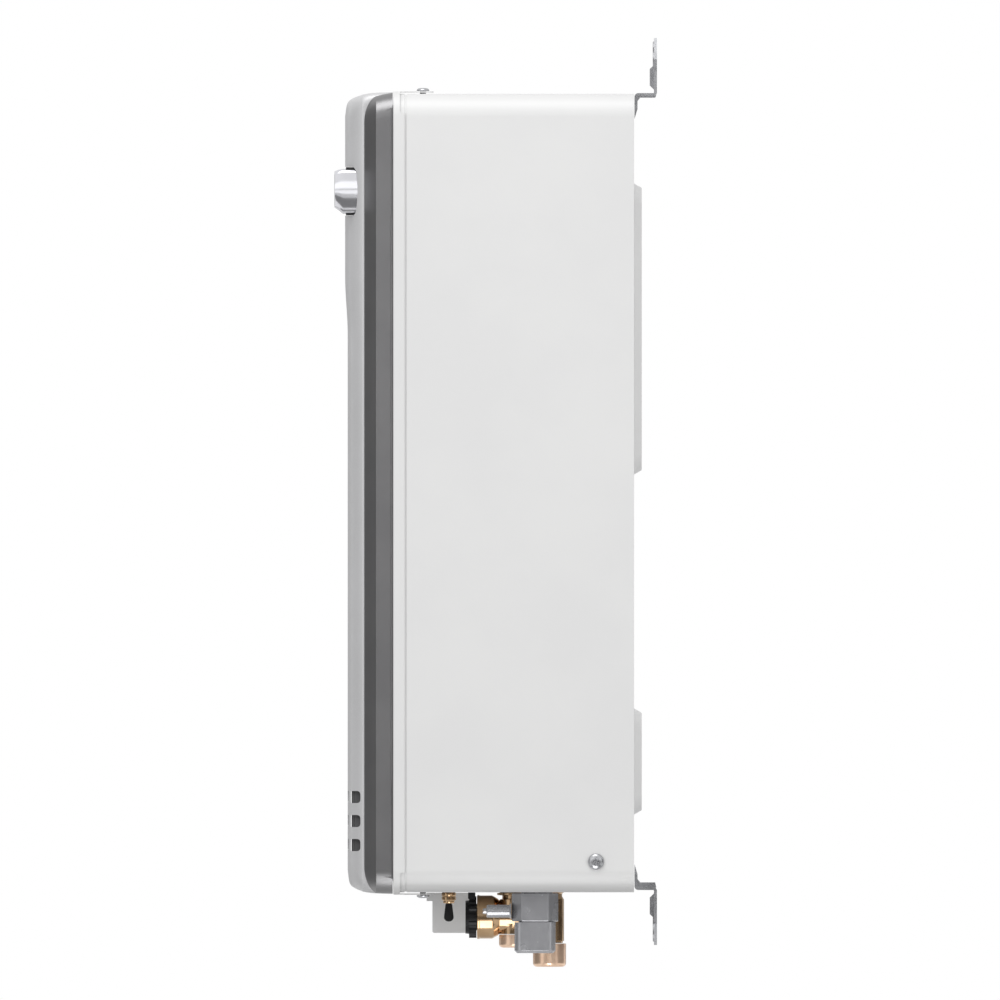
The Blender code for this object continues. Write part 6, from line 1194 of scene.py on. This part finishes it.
for near, reach in ((False, HEX_FACE * 2 / HEX_RADIUS), (True, HEX_REACH / HEX_RADIUS)):
    in_line = lambda middle, way: (abs(middle.x - GAS[0]) < 0.001) == near
    resize(hexagon, "VERT", in_line, (1, reach, 1), (*GAS, 0))
everything(hexagon)
bpy.ops.transform.translate(value=(0, -GAS_SHIFT, 0))
join(gas, rounded(hexagon, 0.0007, 3))
collar = add_block(
    "collar", (GAS[0] - GAS_COLLAR, GAS[1] - GAS_SHIFT - GAS_COLLAR, GAS_LOW),
    (GAS[0] + GAS_COLLAR, GAS[1] - GAS_SHIFT + GAS_COLLAR, GAS_HEX_LOW - 0.0004), Z, 0.0058, 7,
)
join(gas, round_edges(collar, facing(Z, -1), 0.0017, 1, "FACE"))
join(gas, add_rod("Z", GAS, GAS_NECK, (GAS_HEX_LOW - 0.001, GAS_HEX_LOW + 0.001)))
cut(gas, add_rod("Z", GAS, GAS_BORE, (GAS_LOW - OVERCUT, VALVE_BOTTOM + OVERCUT), 48))
dress(rounded(gas, 0.0003), "cast_grey", "heater", "gas_inlet_fitting")

NIPPLE = (GAS[0], -0.5540)
NIPPLE_REAR = GAS[1] - GAS_SHIFT - HEX_REACH - 0.0002
NIPPLE_FRONT = NIPPLE_REAR - 0.0164
SCREW_TIP = NIPPLE_FRONT - 0.0025
nipple_profile = [
    (0.0026, NIPPLE_FRONT + 0.008), (0.0026, NIPPLE_FRONT), (0.0036, NIPPLE_FRONT),
    (0.0042, NIPPLE_FRONT + 0.0006), (0.0042, NIPPLE_REAR - 0.0012), (0.0054, NIPPLE_REAR),
]
dress(add_turned("test_point", "Y", NIPPLE, nipple_profile, 40), "cast_grey", "heater", "test_nipple")
screw_profile = [(0.0014, SCREW_TIP), (0.0019, SCREW_TIP + 0.0006), (0.0019, NIPPLE_FRONT + 0.0077)]
test_screw = add_turned("test_point_screw", "Y", NIPPLE, screw_profile, 32)
slit = add_box(
    "slit", (NIPPLE[0] - 0.003, SCREW_TIP - 0.001, NIPPLE[1] - 0.0003),
    (NIPPLE[0] + 0.003, SCREW_TIP + 0.0008, NIPPLE[1] + 0.0003),
)
dress(cut(test_screw, slit), "bright_steel", "heater", "test_nipple_screw")

# %% [markdown]
# ## The cold inlet and its filter
# Cold water comes in through a brass casting. A barrel across it holds the filter, shut by a ribbed black
# knob. A column and a barrel are turned and joined. The knob is a rod: points on its rim are drawn in for
# the ribs.

# %% Model the cold inlet
BARREL = (COLD[0], -0.5579)
BARREL_FRONT = -0.1193
BARREL_RADIUS, NECK_RADIUS = 0.0146, 0.0112
BARREL_NECK, BARREL_REAR = COLD[1] - 0.0114, COLD[1] + 0.013
FILTER_BORE = 0.0099
WATER_BORE = 0.0075
PIPE_TOP = -0.5692
CLIP_RADIUS, CLIP_LOW, CLIP_HIGH = 0.0088, CASE_BOTTOM - 0.0042, CASE_BOTTOM - 0.0022
COLLAR_RADIUS = 0.0122
END_RADIUS = 0.01095
cold_column = [
    (COLUMN_RADIUS, PIPE_TOP), (COLUMN_RADIUS, CLIP_LOW - 0.0006), (CLIP_RADIUS, CLIP_LOW),
    (CLIP_RADIUS, CLIP_HIGH), (COLLAR_RADIUS, CLIP_HIGH + 0.0004), (COLLAR_RADIUS, CASE_BOTTOM - 0.0005),
    (COLUMN_RADIUS, CASE_BOTTOM - 0.0002), (COLUMN_RADIUS, FLANGE[0]), (FLANGE_RADIUS, FLANGE[0]),
    (FLANGE_RADIUS, FLANGE[1]), (WATER_BORE, FLANGE[1]), (WATER_BORE, PIPE_TOP), (COLUMN_RADIUS, PIPE_TOP),
]
barrel_profile = [
    (BARREL_RADIUS - 0.0006, BARREL_FRONT), (BARREL_RADIUS, BARREL_FRONT + 0.0005),
    (BARREL_RADIUS, BARREL_FRONT + 0.0014), (BARREL_RADIUS - 0.0003, BARREL_FRONT + 0.0018),
    (BARREL_RADIUS - 0.0003, BARREL_NECK - 0.0042), (BARREL_RADIUS - 0.0009, BARREL_NECK - 0.0030),
    (NECK_RADIUS + 0.0012, BARREL_NECK - 0.0006), (NECK_RADIUS + 0.0003, BARREL_NECK + 0.0002),
    (NECK_RADIUS, BARREL_NECK + 0.0010), (NECK_RADIUS, BARREL_REAR - 0.002),
    (NECK_RADIUS - 0.002, BARREL_REAR),
]
cold = add_turned("cold_inlet", "Z", COLD, cold_column)
join(cold, add_turned("barrel", "Y", BARREL, barrel_profile))
cut(cold, add_rod("Y", BARREL, FILTER_BORE, (BARREL_FRONT - OVERCUT, BARREL_REAR - OVERCUT), 48))
dress(rounded(cold, 0.0003), "brass", "heater", "cold_inlet_body")


def add_pipe_end(name, centre, low, high):
    """A bronze end with a rounded rim, where the house's pipe screws on."""
    profile = [
        (WATER_BORE, high), (END_RADIUS - 0.0003, high), (END_RADIUS, high - 0.0003),
        (END_RADIUS, low + 0.0026), (END_RADIUS - 0.0002, low + 0.0016), (END_RADIUS - 0.0008, low + 0.0007),
        (END_RADIUS - 0.0016, low + 0.0002), (END_RADIUS - 0.0026, low), (WATER_BORE + 0.0004, low),
        (WATER_BORE, low + 0.0004), (WATER_BORE, high),
    ]
    return add_turned(name, "Z", centre, profile)


dress(add_pipe_end("cold_end", COLD, -0.5782, PIPE_TOP - GAP), "bronze_end", "heater", "cold_pipe_end")

# %% Model the filter's knob and its keeper
KNOB_RADIUS, KNOB_RIBS, RIB_DEPTH = 0.0138, 16, 0.0009
RIB_POINTS = 6
KNOB_REAR, KNOB_FRONT = BARREL_FRONT - GAP, BARREL_FRONT - 0.0076
KEEPER = (COLD[0] + 0.0100, COLD[0] + 0.0125)
knob = add_rod("Y", BARREL, KNOB_RADIUS, (KNOB_FRONT, KNOB_REAR), KNOB_RIBS * RIB_POINTS, "knob")
axis = Vector(BARREL)


def drawn_in(point, way):
    """Whether a point on the rim lies in the low half of its rib."""
    angle = math.atan2(point.z - axis.y, point.x - axis.x)
    place = (angle / (2 * math.pi) * KNOB_RIBS * RIB_POINTS) % RIB_POINTS
    return round(place) % RIB_POINTS in (3, 4, 5)


share = 1 - RIB_DEPTH / KNOB_RADIUS
resize(knob, "VERT", drawn_in, (share, 1, share), (BARREL[0], 0, BARREL[1]))
ahead = KNOB_FRONT - 0.001
shoulder = [
    (0.02, ahead), (0.02, KNOB_FRONT + 0.0024), (0.0112, KNOB_FRONT + 0.0024), (0.0108, ahead), (0.02, ahead),
]
dish = [(0.0094, ahead), (0.009, KNOB_FRONT + 0.0016)]
cut(knob, add_turned("shoulder", "Y", BARREL, shoulder), add_turned("dish", "Y", BARREL, dish))
grip = add_box(
    "grip", (BARREL[0] - 0.0096, KNOB_FRONT + 0.0002, BARREL[1] - 0.0022),
    (BARREL[0] + 0.0096, KNOB_FRONT + 0.003, BARREL[1] + 0.0022),
)
join(knob, grip, add_rod("Y", BARREL, 0.0088, (KNOB_REAR - 0.002, KNOB_REAR + 0.004)))
dress(rounded(knob, 0.0002), "black_plastic", "knob", "filter_knob")

keeper = add_box("knob_keeper", (KEEPER[0], -0.1252, -0.5462), (KEEPER[1], -0.1203, CASE_BOTTOM - 0.0001))
round_edges(keeper, lambda middle, way: abs(way.x) > STRAIGHT and middle.z < -0.546, 0.0009, 3)
dress(rounded(keeper, 0.0002), "black_plastic", "heater")

# %% [markdown]
# ## The hot outlet, the drain and the cable box
# The hot stub is plain brass with a groove above its bronze end. The drain is a small brass cock with a
# black plug whose flat grip is drop shaped. The cable box is folded sheet, open at its cable hole.

# %% Model the hot outlet and the drain
HOT_LOW = -0.5751
HOT_RADIUS = 0.0096
STUB_TOP = -0.503
hot_profile = [
    (WATER_BORE, HOT_LOW), (HOT_RADIUS - 0.0008, HOT_LOW), (HOT_RADIUS - 0.0008, HOT_LOW + 0.0012),
    (HOT_RADIUS, HOT_LOW + 0.0014), (HOT_RADIUS, CASE_BOTTOM - 0.0048),
    (HOT_RADIUS - 0.0012, CASE_BOTTOM - 0.0027), (HOT_RADIUS - 0.0012, CASE_BOTTOM - 0.001),
    (HOT_RADIUS, CASE_BOTTOM), (HOT_RADIUS, FLANGE[0]), (FLANGE_RADIUS, FLANGE[0]),
    (FLANGE_RADIUS, FLANGE[1]), (HOT_RADIUS, FLANGE[1]), (HOT_RADIUS, STUB_TOP), (WATER_BORE, STUB_TOP),
    (WATER_BORE, HOT_LOW),
]
hot = rounded(add_turned("hot_outlet", "Z", HOT, hot_profile), 0.0002)
dress(hot, "brass", "heater", "hot_outlet_fitting")
dress(add_pipe_end("hot_end", HOT, -0.5909, HOT_LOW - GAP), "bronze_end", "heater", "hot_pipe_end")

DRAIN_LOW = -0.5488
DRAIN_BORE = 0.00125
drain_profile = [
    (0.0025, DRAIN_LOW), (0.0034, DRAIN_LOW), (0.0038, DRAIN_LOW + 0.0006), (0.0038, DRAIN_LOW + 0.0016),
    (0.0047, DRAIN_LOW + 0.0024), (0.0048, DRAIN_LOW + 0.0040), (0.0044, DRAIN_LOW + 0.0046),
    (0.0048, DRAIN_LOW + 0.0052), (0.0048, CASE_BOTTOM - 0.0006), (0.0044, CASE_BOTTOM - 0.0002),
    (0.0044, FLANGE[0]), (0.0075, FLANGE[0]), (0.0075, FLANGE[0] + 0.003), (0.0046, FLANGE[0] + 0.003),
    (0.0046, INNER_FLOOR + 0.008), (DRAIN_BORE, INNER_FLOOR + 0.008), (DRAIN_BORE, CASE_BOTTOM),
    (0.0025, CASE_BOTTOM), (0.0025, DRAIN_LOW),
]
dress(add_turned("drain_cock", "Z", DRAIN, drain_profile, 48), "brass", "heater", "drain_valve_body")

HANDLE_TOP = DRAIN_LOW - GAP
HANDLE_LOW = HANDLE_TOP - 0.0118
HANDLE_HALF, HANDLE_NECK, HANDLE_FLAT = 0.0036, 0.0022, 0.0016
handle = add_box(
    "drain_plug", (DRAIN[0] - HANDLE_FLAT, DRAIN[1] - HANDLE_HALF, HANDLE_LOW),
    (DRAIN[0] + HANDLE_FLAT, DRAIN[1] + HANDLE_HALF, HANDLE_TOP),
)
neck = (1, HANDLE_NECK / HANDLE_HALF, 1)
resize(handle, "VERT", lambda middle, way: middle.z > HANDLE_TOP - TINY, neck, (*DRAIN, HANDLE_TOP))
at_foot = lambda middle, way: abs(way.x) > STRAIGHT and middle.z < HANDLE_LOW + TINY
rounded(round_edges(handle, at_foot, 0.0034, 10), 0.0007, 3)
stem = add_rod("Z", DRAIN, 0.0019, (HANDLE_TOP - 0.003, HANDLE_TOP + 0.0082), 32)
dress(join(handle, stem), "black_plastic", "drain", "drain_handle")

# %% Model the cable box
CABLE_BOX = ((-0.158, -0.1488, -0.5684), (-0.100, -0.1212, CASE_BOTTOM - GAP))
CABLE_WALL = 0.001
FLAP_REACH, FLAP_HEIGHT = 0.0038, 0.0055
CABLE_HOLE = 0.0095
(left, front, low), (right, rear, top) = CABLE_BOX
cable_box = round_edges(
    add_box("cable_box", *CABLE_BOX),
    lambda middle, way: abs(way.z) > STRAIGHT or (abs(way.x) > STRAIGHT and middle.z < -0.56), 0.0012, 4,
)
join(cable_box, add_box("flap", (left, front - FLAP_REACH, top - FLAP_HEIGHT), (right, front + 0.0015, top)))
hollow = add_box(
    "hollow", (left + CABLE_WALL, front + CABLE_WALL, low + CABLE_WALL),
    (right - CABLE_WALL, rear - CABLE_WALL, top + OVERCUT),
)
cut(cable_box, hollow, add_rod("Z", CABLE, CABLE_HOLE, (low - OVERCUT, low + OVERCUT), 40))
dress(rounded(cable_box, 0.0002), "case_paint", "heater", "junction_box")

# %% [markdown]
# ## What is inside
# Behind the cover are the burner, the exchanger, the fan and the valves. Their solids already have the
# right shapes, with few facets. A copy of each is merged, its flat faces are joined again, and its sharp
# edges get a fine round, so that light runs along them as it does on the real piece. Bent tubes are
# subdivided instead.

# %% Round the inner pieces
TUBES = {"exchanger_tube", "cold_pipe", "hot_pipe", "gas_feed_pipe", "drain_pipe", "ignition_lead"}
FLAT_ANGLE = math.radians(0.5)
ROUNDING = {
    0.00015: ("exchanger_fins",),
    0.0002: ("gas_nozzle_plate", "electrode_set", "fan_wheel", "flow_turbine", "filter_strainer",
             "control_board", "board_button_down", "board_button_up", "cover_gasket"),
    0.0003: ("burner_bars", "sight_glass", "shutoff_plunger", "modulating_plunger"),
    0.0004: ("heat_exchanger_shell", "exhaust_hood", "burner_box"),
    0.0005: ("fan_housing", "shutoff_coil", "modulating_coil", "flow_sensor_body", "control_box"),
    0.0006: ("gas_manifold", "fan_motor"),
    0.0008: ("gas_valve_body", "ignition_transformer"),
}
rounding = {node: width for width, nodes in ROUNDING.items() for node in nodes}
slots = {row["node"]: row["material_slot"] for row in frame["record"]["subparts"]}
bodies = {node: body for body, nodes in frame["record"]["behaviour"]["bodies"].items() for node in nodes}


def refine(node):
    """A merged copy of a node's solid, with rounds on its edges or a smooth tube."""
    piece = bpy.data.objects.new(node + "_dressed", frame["nodes"][node].data.copy())
    bpy.context.scene.collection.objects.link(piece)
    hold(piece)
    bpy.ops.mesh.customdata_custom_splitnormals_clear()
    everything(piece)
    bpy.ops.mesh.remove_doubles(threshold=MERGED)
    if node in TUBES:
        bpy.ops.mesh.tris_convert_to_quads(face_threshold=math.pi, shape_threshold=math.pi)
        return modified(piece, "SUBSURF", levels=2, render_levels=2)
    bpy.ops.mesh.dissolve_limited(angle_limit=FLAT_ANGLE)
    return rounded(piece, rounding[node])


for node in sorted(TUBES | set(rounding)):
    dress(refine(node), slots[node], bodies[node], node)

# %% Finish whatever still shows as a solid
for name, node in frame["nodes"].items():
    if not node.hide_render:
        print("still a plain solid:", name)
        node.data.materials.clear()
        node.data.materials.append(finishes[slots[name]])
